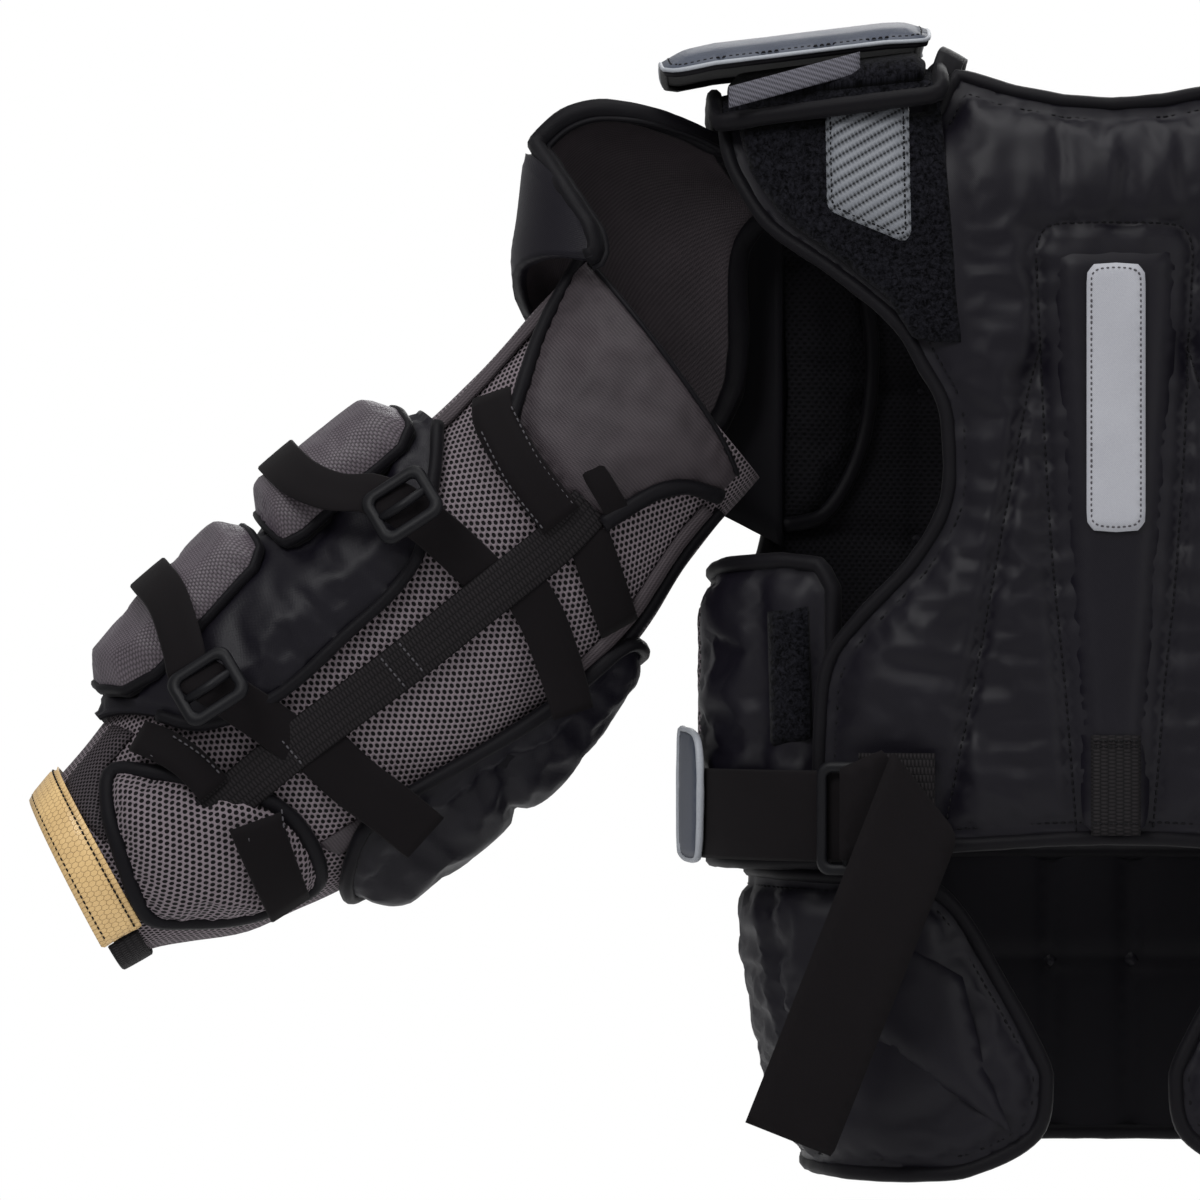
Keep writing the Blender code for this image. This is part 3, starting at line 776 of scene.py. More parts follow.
def group_nap():
    """Short fibres standing off a cloth."""
    tree, source, out = start_group(
        "fibre nap", [("Place", "NodeSocketVector", None), ("Size", "NodeSocketFloat", 0.0012)],
        ["Height"])
    scale = maths(tree, "DIVIDE", 1.0, source.outputs["Size"])
    tuft = add(tree, "ShaderNodeTexNoise", {"Vector": source.outputs["Place"], "Scale": scale,
                                            "Detail": 3.0, "Roughness": 0.75,
                                            "Distortion": 0.6})
    tree.links.new(tuft.outputs[0], out.inputs["Height"])
    return tree


WEAVE = group_crossed_weave()
RIBS = group_ribs()
KNIT = group_open_knit()
HONEYCOMB = group_honeycomb()
DRIFT = group_drift()
NAP = group_nap()


def placed(tree, group, place, **values):
    node = add(tree, "ShaderNodeGroup", None, node_tree=group)
    tree.links.new(place, node.inputs["Place"])
    for key, value in values.items():
        node.inputs[key].default_value = value
    return node


def finish_of(name, low, high, roughness, pattern, depth, drift=0.35, drift_size=0.05,
              swing=0.08, rub=0.0, sheen=0.0, sheen_tint=None, coat=0.0, specular=0.5):
    """A cloth, leather or plastic: a fine pattern between two colours, with a shade drift."""
    material = bpy.data.materials.new(name)
    material.use_nodes = True
    tree = material.node_tree
    shader = tree.nodes["Principled BSDF"]
    place = add(tree, "ShaderNodeUVMap", None, uv_map="weave").outputs[0]
    share, height = pattern(tree, place)
    shade = placed(tree, DRIFT, place, Size=drift_size)
    centred = maths(tree, "SUBTRACT", shade.outputs["Shade"], 0.5)
    share = maths(tree, "MULTIPLY_ADD", centred, drift * 2, share)
    if rub:
        share = maths(tree, "MULTIPLY_ADD", shade.outputs["Rub"], rub, share)
    colour = add(tree, "ShaderNodeMix", None, data_type="RGBA", clamp_factor=True)
    tree.links.new(share, colour.inputs[0])
    colour.inputs[6].default_value = low
    colour.inputs[7].default_value = high
    tree.links.new(colour.outputs[2], shader.inputs["Base Color"])
    rough = maths(tree, "MULTIPLY_ADD", centred, swing * 2, roughness)
    tree.links.new(rough, shader.inputs["Roughness"])
    bump = add(tree, "ShaderNodeBump", {"Strength": 1.0, "Distance": depth, "Height": height})
    tree.links.new(bump.outputs[0], shader.inputs["Normal"])
    shader.inputs["Metallic"].default_value = 0.0
    shader.inputs["Specular IOR Level"].default_value = specular
    shader.inputs["Sheen Weight"].default_value = sheen
    if sheen_tint:
        shader.inputs["Sheen Tint"].default_value = sheen_tint
    shader.inputs["Coat Weight"].default_value = coat
    return material


def plain_weave(pitch, grain=0.6, slant=0.0):
    def pattern(tree, place):
        threads = placed(tree, WEAVE, place, Pitch=pitch, Slant=slant).outputs[0]
        nap = placed(tree, NAP, place, Size=0.0009).outputs[0]
        mixed = add(tree, "ShaderNodeMix", {0: grain, 2: threads, 3: nap}, data_type="FLOAT")
        return mixed.outputs[0], mixed.outputs[0]
    return pattern


def ribbed(pitch, nip):
    def pattern(tree, place):
        cords = placed(tree, RIBS, place, Pitch=pitch, Nip=nip).outputs[0]
        nap = placed(tree, NAP, place, Size=0.0008).outputs[0]
        mixed = add(tree, "ShaderNodeMix", {0: 0.25, 2: cords, 3: nap}, data_type="FLOAT")
        return mixed.outputs[0], mixed.outputs[0]
    return pattern


def open_knit(pitch, opening):
    def pattern(tree, place):
        knit = placed(tree, KNIT, place, Pitch=pitch, Open=opening)
        nap = placed(tree, NAP, place, Size=0.001).outputs[0]
        yarn = maths(tree, "SUBTRACT", maths(tree, "MULTIPLY_ADD", nap, 0.5, 0.55),
                     maths(tree, "MULTIPLY", knit.outputs["Hole"], 1.2))
        height = maths(tree, "SUBTRACT", maths(tree, "MULTIPLY_ADD", nap, 0.15,
                                               knit.outputs["Height"]),
                       maths(tree, "MULTIPLY", knit.outputs["Hole"], 1.0))
        return yarn, height
    return pattern


def loop_pile(tree, place):
    fine = placed(tree, NAP, place, Size=0.0022).outputs[0]
    coarse = placed(tree, NAP, place, Size=0.004).outputs[0]
    mixed = add(tree, "ShaderNodeMix", {0: 0.35, 2: fine, 3: coarse}, data_type="FLOAT")
    strong = maths(tree, "MULTIPLY_ADD", maths(tree, "SUBTRACT", mixed.outputs[0], 0.5), 4.5, 0.42)
    return strong, mixed.outputs[0]


def carbon_ribs(tree, place):
    """Raised slanting ribs with a row of pricked holes between them."""
    turned = add(tree, "ShaderNodeMapping", {"Vector": place,
                                             "Rotation": (0, 0, math.radians(-28))})
    split = add(tree, "ShaderNodeSeparateXYZ", {0: turned.outputs[0]})
    across = maths(tree, "MULTIPLY", split.outputs[1], math.pi / 0.0052)
    rib = maths(tree, "ABSOLUTE", maths(tree, "SINE", across))
    along = maths(tree, "MULTIPLY", split.outputs[0], 2 * math.pi / 0.0021)
    prick = maths(tree, "MULTIPLY", maths(tree, "SINE", along),
                  maths(tree, "SUBTRACT", 1.0, rib))
    share = maths(tree, "MULTIPLY_ADD", prick, 0.45, maths(tree, "POWER", rib, 0.7))
    grain = placed(tree, NAP, place, Size=0.001).outputs[0]
    return maths(tree, "MULTIPLY_ADD", grain, 0.3, maths(tree, "MULTIPLY", share, 0.75)), share


def honeycomb_leather(tree, place):
    cells = placed(tree, HONEYCOMB, place, Pitch=0.0042)
    grain = placed(tree, NAP, place, Size=0.0009).outputs[0]
    walls = maths(tree, "MULTIPLY_ADD", cells.outputs["Line"], -0.42, 0.8)
    share = maths(tree, "MULTIPLY_ADD", grain, 0.16, walls)
    height = maths(tree, "MULTIPLY_ADD", cells.outputs["Line"], -0.8,
                   maths(tree, "MULTIPLY", grain, 0.25))
    return share, height


def moulded(tree, place):
    grain = placed(tree, NAP, place, Size=0.0007).outputs[0]
    return grain, grain


SATIN = finish_of("satin_nylon", tone(6, 5, 9), tone(19, 17, 25), 0.43,
                  plain_weave(0.0011), 0.00014, drift=0.25, swing=0.08, rub=0.12, sheen=0.02,
                  sheen_tint=tone(120, 116, 140), specular=0.15)
SATIN_LOW = finish_of("satin_nylon_shaded", tone(7, 6, 9), tone(19, 18, 23), 0.6,
                      plain_weave(0.0011), 0.00012, drift=0.25, specular=0.1)
BINDING = finish_of("rolled_binding", tone(4, 4, 6), tone(14, 12, 17), 0.5,
                    plain_weave(0.001), 0.00018, drift=0.3, sheen=0.02, specular=0.09)
MESH = finish_of("spacer_mesh", tone(6, 5, 6), tone(122, 112, 118), 0.72,
                 open_knit(0.0041, 0.34), 0.0006, drift=0.12, sheen=0.04, specular=0.12)
FINE_MESH = finish_of("fine_mesh", tone(6, 5, 6), tone(72, 66, 70), 0.75,
                      open_knit(0.003, 0.34), 0.0004, drift=0.12, specular=0.12)
# Grey lining: the spread between its two tones and its strong shade drift are painted light and
# shade. Large soft lighter and darker blotches stand in for the sheen and shading of big soft
# wrinkles. The warm grey itself is the cloth's own colour.
LINING = finish_of("grey_lining", tone(28, 25, 28), tone(66, 59, 63), 0.56,
                   plain_weave(0.0017, 0.3, 1.0), 0.00025, drift=0.5, sheen=0.1,
                   sheen_tint=tone(150, 140, 146), specular=0.2)
DARK_LINING = finish_of("dark_lining", tone(4, 4, 5), tone(18, 17, 21), 0.8,
                        open_knit(0.004, 0.24), 0.0004, drift=0.2, specular=0.1)
LOOP = finish_of("loop_cloth", tone(0, 0, 1), tone(24, 24, 29), 0.95, loop_pile, 0.0012,
                 drift=0.2, sheen=0.03, specular=0.04)
# Ribbed cloth: the spread between its two tones is partly painted light. The lighter tone on the
# cord tops is a painted highlight, and the darker tone in the grooves is painted shade. The
# purple-grey is the cloth's own colour.
RIBBED = finish_of("ribbed_cloth", tone(22, 18, 21), tone(92, 84, 91), 0.44,
                   ribbed(0.0017, 0.0017), 0.00035, drift=0.3, sheen=0.08,
                   sheen_tint=tone(150, 134, 160), specular=0.3)
TWILL = finish_of("twill_piping", tone(24, 21, 23), tone(84, 77, 81), 0.7,
                  plain_weave(0.0022, 0.25, 1.0), 0.0003, drift=0.2, specular=0.15)
WEBBED = finish_of("webbing", tone(2, 2, 3), tone(32, 29, 31), 0.68, ribbed(0.0021, 0.0042),
                   0.0007, drift=0.15, specular=0.12)
HERRINGBONE = finish_of("grey_webbing", tone(26, 26, 31), tone(96, 95, 104), 0.7,
                        plain_weave(0.003, 0.2, 1.6), 0.0004, drift=0.15, specular=0.2)
ELASTIC = finish_of("elastic", tone(5, 4, 5), tone(21, 18, 20), 0.74,
                    plain_weave(0.0008, 0.7), 0.00018, drift=0.2, sheen=0.02, specular=0.06)
CARBON = finish_of("carbon_leather", tone(22, 23, 25), tone(112, 115, 121), 0.45, carbon_ribs,
                   0.0009, drift=0.2, specular=0.2)
GOLD = finish_of("gold_leather", tone(120, 86, 44), tone(206, 174, 121), 0.42,
                 honeycomb_leather, 0.0003, drift=0.3, drift_size=0.03, swing=0.14,
                 rub=0.35, specular=0.35, coat=0.05)
SILVER = finish_of("silver_leather", tone(34, 37, 45), tone(72, 78, 92), 0.46,
                   plain_weave(0.0013, 0.75), 0.00012, drift=0.3, specular=0.25)
PIPING = finish_of("silver_piping", tone(104, 108, 115), tone(168, 171, 177), 0.45,
                   plain_weave(0.001, 0.8), 0.0001, drift=0.2, specular=0.3)
PATCH = finish_of("plain_patch", tone(122, 123, 130), tone(172, 173, 179), 0.5,
                  plain_weave(0.001, 0.5), 0.0001, drift=0.2, specular=0.25)
PLASTIC = finish_of("moulded_plastic", tone(7, 7, 9), tone(18, 18, 22), 0.46, moulded,
                    0.00006, drift=0.3, specular=0.13)
THREAD = finish_of("thread", tone(4, 4, 6), tone(14, 13, 17), 0.6, moulded, 0.00005,
                   specular=0.15)
GREY_THREAD = finish_of("grey_thread", tone(44, 42, 46), tone(88, 86, 90), 0.6, moulded,
                        0.00005, specular=0.2)


# ---- the torso's curved surfaces ----------------------------------------------------------
def shoulder_roll(z):
    return SHOULDER_ROLL * max(0.0, (z + ROLL_DEPTH) / ROLL_DEPTH) ** 2


def back_y(x, z):
    return BACK_INNER_Y + BACK_CURVE * x * x + shoulder_roll(min(z, 0.02))


def on_back(x, z, height):
    """A point on the back panel, height off its inside, away from the wearer."""
    step = 0.001
    slope_x = (back_y(x + step, z) - back_y(x - step, z)) / (2 * step)
    slope_z = (back_y(x, z + step) - back_y(x, z - step)) / (2 * step)
    normal = Vector((slope_x, -1.0, slope_z)).normalized()
    return Vector((x, back_y(x, z), z)) + normal * height


def on_chest(x, z, height):
    """A point on the chest panel, height off its inside, towards the front."""
    normal = Vector((2 * x, 1.0, 0)).normalized()
    return Vector((x, CHEST_INNER_Y - x * x - shoulder_roll(z), z)) + normal * height


def on_belly(x, z, height):
    normal = Vector((2 * BELLY_CURVE * x, 1.0, 0)).normalized()
    return Vector((x, BELLY_INNER_Y - BELLY_CURVE * x * x, z)) + normal * height


class Route:
    """A smooth line seen from above, which a wing or strap follows on edge."""

    def __init__(self, points, drop_share=0.0):
        self.line = flowing_line(points, 0.002)
        runs = np.linalg.norm(np.diff(self.line, axis=0), axis=1)
        self.reach = np.concatenate([[0.0], np.cumsum(runs)])
        self.length = self.reach[-1]
        self.drop_share = drop_share

    def spot(self, along):
        ahead = min(max(along, -0.01), self.length + 0.01)
        base = min(max(ahead, 0.0), self.length)
        x = float(np.interp(base, self.reach, self.line[:, 0]))
        y = float(np.interp(base, self.reach, self.line[:, 1]))
        near = [float(np.interp(min(max(base + d, 0.0), self.length), self.reach,
                                self.line[:, axis])) for d in (-0.004, 0.004)
                for axis in (0, 1)]
        run = Vector((near[2] - near[0], near[3] - near[1], 0)).normalized()
        return Vector((x, y, 0)) + run * (ahead - base), run

    def place(self, along, z, height):
        """Height is away from the wearer's body."""
        spot, run = self.spot(along)
        drop = (z + 0.42) / 0.16
        shrink = 1 - self.drop_share * drop * drop
        out = Vector((run.y, -run.x, 0))
        if out.dot(spot) < 0:
            out = -out
        return Vector((spot.x * shrink, spot.y, z)) + out * height


# ---- the torso's pieces -------------------------------------------------------------------
ARMHOLE = ((-0.2101, -0.0075), (-0.2075, -0.024), (-0.2008, -0.0396), (-0.1843, -0.0633),
           (-0.1502, -0.088), (-0.1166, -0.1166), (-0.1018, -0.1419), (-0.093, -0.1573),
           (-0.0893, -0.1749), (-0.09, -0.2134), (-0.1073, -0.2464), (-0.1375, -0.2794),
           (-0.154, -0.3042), (-0.1584, -0.3454), (-0.1584, -0.4))
SPINE_SEAM = ((-0.0205, -0.396), (-0.0262, -0.32), (-0.033, -0.25), (-0.0375, -0.18),
              (-0.0412, -0.098), (-0.0418, -0.078), (-0.0385, -0.0672), (-0.03, -0.0635),
              (0.0, -0.0625))
FAN_SEAM = ((-0.04, -0.13), (-0.047, -0.158), (-0.057, -0.2134), (-0.0743, -0.3102),
            (-0.0913, -0.396))


def back_piece():
    neck = [(0.0, 0.0), (-0.028, 0.0022), (-0.055, 0.0078), (-0.074, 0.014),
            (-0.083, 0.0168), (-0.089, 0.008), (-0.095, -0.006), (-0.115, -0.0095),
            (-0.16, -0.01)]
    curved = [tuple(p) for p in flowing_line(ARMHOLE, 0.005)]
    foot = [(-0.154, -0.4031), (-0.0957, -0.4028), (-0.028, -0.3985), (0.0, -0.398)]
    outline = even_line(both_sides(neck + curved + foot), 0.0045, True)
    left_run = [tuple(p) for p in flowing_line(SPINE_SEAM, 0.0045)]
    spine = left_run + [(-x, z) for x, z in reversed(left_run[:-1])]
    fan = flowing_line(FAN_SEAM, 0.0045)
    other_fan = fan * np.array([-1, 1])
    seams = [np.array(spine), fan, other_fan]

    def gathers(points):
        """Pleats falling from the neckline onto the spine channel, and under its corners."""
        close = np.exp(-((points[:, 1] + 0.036) / 0.024) ** 2)
        close *= np.clip(1.25 - np.abs(points[:, 0]) / 0.06, 0, 1)
        pleats = 0.0042 * close * ripple(points, (0.0085, 0.05), 2.0)
        corner = np.exp(-((np.abs(points[:, 0]) - 0.05) / 0.02) ** 2
                        - ((points[:, 1] + 0.075) / 0.025) ** 2)
        return pleats + 0.0018 * corner * ripple(points, (0.012, 0.012), 7.0)

    height = swell(outline, seams, full=0.015, edge=0.006, rise=0.026, dip=0.0062,
                   pucker=0.0024, crease=0.0014, crease_size=(0.034, 0.05), hem=0.0085,
                   seam_width=0.0042, seed=1.0, extra=gathers)
    flat_zone = swell(outline, seams, full=0.0125, edge=0.006, rise=0.026, dip=0.0062,
                      pucker=0.0, crease=0.0, hem=0.0085, seed=1.0)

    def settled(points):
        """Lower where the landing panel and the belt anchor are sewn flat."""
        points = np.atleast_2d(np.array(points, float))
        across = np.clip((np.abs(points[:, 0]) - 0.078) / 0.008, 0, 1)
        up = np.clip((points[:, 1] + 0.136) / 0.008, 0, 1)
        down = np.clip((-0.345 - points[:, 1]) / 0.006, 0, 1)
        near_anchor = np.clip((np.abs(points[:, 0]) - 0.086) / 0.006, 0, 1)
        pressed = np.maximum(across * up, down * near_anchor)
        return height(points) * (1 - pressed) + flat_zone(points) * pressed

    def under_others(points):
        across, z = np.abs(points[:, 0]), points[:, 1]
        landing = (across > 0.076) & (z > -0.138)
        anchor = (across > 0.084) & (z < -0.34)
        spine = (across < 0.038) & (z < -0.07)
        return landing | anchor | spine

    piece = pad("back_panel", outline, on_back, settled, SATIN, seams, step=0.0042,
                under_finish=SATIN_LOW, slack=0.034, sewn_edge=0.0105, pressed=under_others)
    settle(piece, "torso", "satin_nylon", ["back_panel"], fill=0.6)
    binding = edge_binding("back_binding", outline, on_back, 0.0045, 0.0042, 0.0048, BINDING)
    settle(binding, "torso", "satin_nylon")
    rows = [edge_row(outline, 0.0088, 0.004, on_back, settled)]
    rows += [row_on(even_line(list(s), 0.004), on_back, settled) for s in seams]
    thread = stitches("back_stitching", rows, THREAD)
    settle(thread, "torso", "satin_nylon")


def inset_line(outline, distance):
    """A closed outline moved inwards."""
    outline = np.array(outline, float)
    ahead = np.roll(outline, -2, axis=0) - np.roll(outline, 2, axis=0)
    ahead /= np.maximum(np.linalg.norm(ahead, axis=1)[:, None], 1e-9)
    turned = np.stack([-ahead[:, 1], ahead[:, 0]], 1)
    test = outline + turned * 0.001
    if inside(test, outline).mean() < 0.5:
        turned = -turned
    moved = outline + turned * distance
    gap, _ = nearest(moved, outline, True)
    return moved[gap > distance * 0.93]


def spine_pieces():
    half = [(0.0, -0.0745), (-0.026, -0.075), (-0.0322, -0.079), (-0.0338, -0.085),
            (-0.033, -0.11), (-0.029, -0.18), (-0.024, -0.26), (-0.0185, -0.335),
            (-0.0165, -0.39), (0.0, -0.3905)]
    outline = flowing_line(both_sides(half), 0.0045, True)
    height = swell(outline, (), full=0.0188, edge=0.0125, rise=0.01, pucker=0.0004,
                   crease=0.0004, hem=0.002, seed=3.0)
    piece = pad("spine_pad", outline, on_back, height, SATIN, step=0.005, underside=0.0115)
    settle(piece, "torso", "satin_nylon", ["spine_pad"], fill=0.7)

    label = [(0.0, -0.085), (-0.012, -0.0858), (-0.0156, -0.09), (-0.016, -0.096),
             (-0.016, -0.22), (-0.0156, -0.2265), (-0.012, -0.2306), (0.0, -0.2315)]
    face = BACK_INNER_Y - 0.0205

    def flat_face(x, z, height):
        return Vector((x, face - height, z))

    outline = even_line(both_sides(label), 0.003, True)
    height = swell(outline, (), full=0.0014, edge=0.001, rise=0.003, pucker=0.0, crease=0.0,
                   hem=0.0016)
    patch = pad("spine_patch", outline, flat_face, height, PATCH, step=0.005)
    settle(patch, "torso", "plain_patch", ["spine_patch"])
    border = stitches("spine_patch_stitching",
                      [edge_row(outline, 0.0026, 0.003, flat_face, height)], GREY_THREAD,
                      pitch=0.003, length=0.0021)
    settle(border, "torso", "plain_patch")

    centres = [on_back(0, z, 0.0192 + 0.0012 * math.sin(math.pi * k / 12))
               for k, z in enumerate(np.linspace(-0.342, -0.3965, 13))]
    keeper = band("spine_keeper", centres, [(1, 0, 0)] * 13, 0.027, WEBBING, WEBBED)
    settle(keeper, "torso", "webbing", ["spine_keeper"])
    rows = []
    for z in (-0.345, -0.348, -0.39):
        rows.append([(on_back(x, z, 0.0206), Vector((0, -1, 0)))
                     for x in np.linspace(-0.012, 0.012, 8)])
    bar = stitches("spine_keeper_stitching", rows, THREAD, pitch=0.0028, length=0.002)
    settle(bar, "torso", "webbing")


def shoulder_landing():
    """The loop panel beside the armhole and the carbon-look tab on it."""
    outline = [(-0.093, 0.006), (-0.0905, -0.02), (-0.0868, -0.062), (-0.0838, -0.1),
               (-0.0812, -0.1278), (-0.095, -0.128), (-0.1062, -0.1262), (-0.121, -0.1025),
               (-0.144, -0.083), (-0.1768, -0.058), (-0.193, -0.036), (-0.2, -0.012),
               (-0.15, -0.0095), (-0.115, -0.0088), (-0.0985, -0.0062)]
    outline = even_line(outline, 0.0045, True)

    def on_panel(x, z, height):
        return on_back(x, z, 0.0122 + height)

    height = swell(outline, (), full=0.003, edge=0.0016, rise=0.006, pucker=0.0002,
                   crease=0.0006, hem=0.001, seed=4.0)
    piece = pad("left_shoulder_loop", outline, on_panel, height, LOOP, step=0.0045)
    pair(piece, "torso", "loop_cloth", nodes=["left_shoulder_loop"])
    corners = [(-0.1525, -0.004), (-0.13, -0.0015), (-0.1085, -0.001), (-0.1078, -0.04),
               (-0.1072, -0.068), (-0.1092, -0.072), (-0.113, -0.0722), (-0.1495, -0.0562),
               (-0.1515, -0.053)]
    outline = even_line(corners, 0.003, True)
    height = swell(outline, (), full=0.005, edge=0.0036, rise=0.004, pucker=0.0001,
                   crease=0.0002, hem=0.0018, seed=5.0)
    tab = pad("left_shoulder_tab", outline, on_panel, height, CARBON, step=0.004,
              underside=0.002)
    pair(tab, "torso", "carbon_leather", nodes=["left_shoulder_tab"])
    row = edge_row(outline, 0.0028, 0.003, on_panel, height)
    pair(stitches("left_shoulder_tab_stitching", [row], THREAD, pitch=0.003, length=0.0022),
         "torso", "carbon_leather")


YOKE_PROFILE = flowing_line(((-0.104, -0.009), (-0.093, -0.001), (-0.06, 0.005),
                             (0.01, 0.007), (0.045, 0.002), (0.066, -0.008)), 0.002)
YOKE_LENGTH = 0.176


def over_shoulder(x, run, height):
    """A point over the shoulder: run goes from the back edge to the front one."""
    share = min(max(run / YOKE_LENGTH, 0.0), 1.0)
    at = share * (len(YOKE_PROFILE) - 1)
    low = min(int(at), len(YOKE_PROFILE) - 2)
    point = mix(YOKE_PROFILE[low], YOKE_PROFILE[low + 1], at - low)
    near = YOKE_PROFILE[max(low - 2, 0)]
    far = YOKE_PROFILE[min(low + 3, len(YOKE_PROFILE) - 1)]
    along = (far - near) / np.linalg.norm(far - near)
    lift = 0.014 * (x + 0.217) / 0.1235
    follow = BACK_CURVE * (x * x - 0.0225) * (1 - share)
    return Vector((x, point[0] - along[1] * height + follow,
                   point[1] + along[0] * height + lift))


def yoke_pieces():
    outline = even_line([(-0.215, 0.0), (-0.15, -0.0005), (-0.097, 0.0), (-0.094, 0.004),
                         (-0.0938, 0.09), (-0.0945, YOKE_LENGTH), (-0.212, YOKE_LENGTH),
                         (-0.2168, 0.166), (-0.217, 0.006)], 0.005, True)
    height = swell(outline, (), full=0.0088, edge=0.005, rise=0.01, pucker=0.0005,
                   crease=0.0006, hem=0.006, seed=6.0)
    flap = pad("left_yoke_flap", outline, over_shoulder, height, LOOP, step=0.005,
               under_finish=SATIN_LOW)
    pair(flap, "torso", "loop_cloth", nodes=["left_yoke_flap"], fill=0.5)
    bind_edge("left_yoke_binding", outline, over_shoulder, 0.004, 0.0044, 0.0055, "torso")
    row = edge_row(outline, 0.0062, 0.004, over_shoulder, height)
    pair(stitches("left_yoke_stitching", [row], THREAD), "torso", "satin_nylon")
    raised = even_line([(-0.208, 0.011), (-0.104, 0.009), (-0.102, 0.02),
                        (-0.103, 0.15), (-0.206, 0.15), (-0.209, 0.14)], 0.005, True)
    swollen = swell(raised, (), full=0.0165, edge=0.012, rise=0.006, pucker=0.0002,
                    crease=0.0004, hem=0.001, seed=18.0)
    pair(pad("left_yoke_pad", raised, over_shoulder, swollen, LOOP, step=0.0055,
             underside=0.007), "torso", "loop_cloth", fill=0.6)
    centres, sides = [], []
    for share in np.linspace(0, 1, 17):
        centres.append(Vector((mix(-0.21, -0.138, share), -0.0985 + 0.0008 * math.sin(
            7 * share), mix(0.007, 0.0262, share))))
        sides.append(Vector((0.0, 0.35, 0.94)))
    strap = band("left_yoke_webbing", centres, sides, 0.013, WEBBING, HERRINGBONE)
    pair(strap, "torso", "webbing", nodes=["left_yoke_webbing"])
    back_line, chest_line = [], []
    for x in np.linspace(-0.108, -0.185, 12):
        back_line.append(over_shoulder(x, YOKE_LENGTH - 0.004, 0.003))
        chest_line.append(on_chest(x, -0.03, 0.006))
    pair(joined_cloth("left_shoulder_bridge", back_line, chest_line, Vector((0, 0.004, 0.006)),
                      SATIN, 0.005), "torso", "satin_nylon", fill=0.3)
    collar = [Vector((-0.0925, -0.088, 0.0165)), Vector((-0.0875, -0.076, 0.03)),
              Vector((-0.0845, -0.056, 0.0325)), Vector((-0.0835, -0.02, 0.033)),
              Vector((-0.084, 0.03, 0.024)), Vector((-0.086, 0.06, 0.006))]
    line = [Vector(p) for p in flowing_line([tuple(p) for p in collar], 0.006)]
    pair(band("left_collar_strap", line, [(0.9, 0.0, -0.5)] * len(line), 0.016, 0.0035,
              BINDING), "torso", "satin_nylon")


CAP_OUTER_X, CAP_WIDE = -0.247, 0.148
CAP_BACK_Y, CAP_DEEP = -0.088, 0.156


def shoulder_cap_piece():
    """The hard cap over the shoulder: leather-look top, piped edge, black underside."""
    def on_cap(x, y, height):
        share_x = (x - CAP_OUTER_X) / CAP_WIDE
        share_y = (y - CAP_BACK_Y) / CAP_DEEP
        crown = 0.01 * (1 - (2 * share_y - 1) ** 2)
        tip = 0.003 * max(0.0, 1 - share_x * 5) + 0.0022 * max(0.0, share_x * 6 - 5)
        return Vector((x, y, mix(0.0175, 0.0355, share_x) + crown - tip + height))

    outline = flowing_line([(-0.243, -0.078), (-0.235, -0.086), (-0.21, -0.088),
                            (-0.173, -0.088), (-0.125, -0.088), (-0.105, -0.086),
                            (-0.0995, -0.076), (-0.099, -0.01), (-0.0995, 0.056),
                            (-0.106, 0.0665), (-0.173, 0.068), (-0.235, 0.066),
                            (-0.245, 0.056), (-0.2468, -0.01), (-0.2462, -0.065)],
                           0.005, True)
    height = swell(outline, (), full=0.0105, edge=0.0062, rise=0.013, pucker=0.0001,
                   crease=0.0002, hem=0.003, seed=7.0)
    cap = pad("left_shoulder_cap", outline, on_cap, height, SILVER, step=0.006,
              underside=0.0034, under_finish=SATIN_LOW)
    pair(cap, "shoulder_cap", "silver_leather", nodes=["left_shoulder_cap"])
    pair(edge_binding("left_shoulder_cap_piping", outline, on_cap, 0.0054, 0.0012, 0.0012,
                      PIPING), "shoulder_cap", "silver_leather")
    bind_edge("left_shoulder_cap_underedge", inset_line(outline, 0.002), on_cap, 0.003, 0.0018,
              0.002, "shoulder_cap")
    row = edge_row(outline, 0.0042, 0.004, on_cap, height, 0.0009)
    pair(stitches("left_shoulder_cap_stitching", [row], THREAD, pitch=0.0036, length=0.0024),
         "shoulder_cap", "silver_leather")


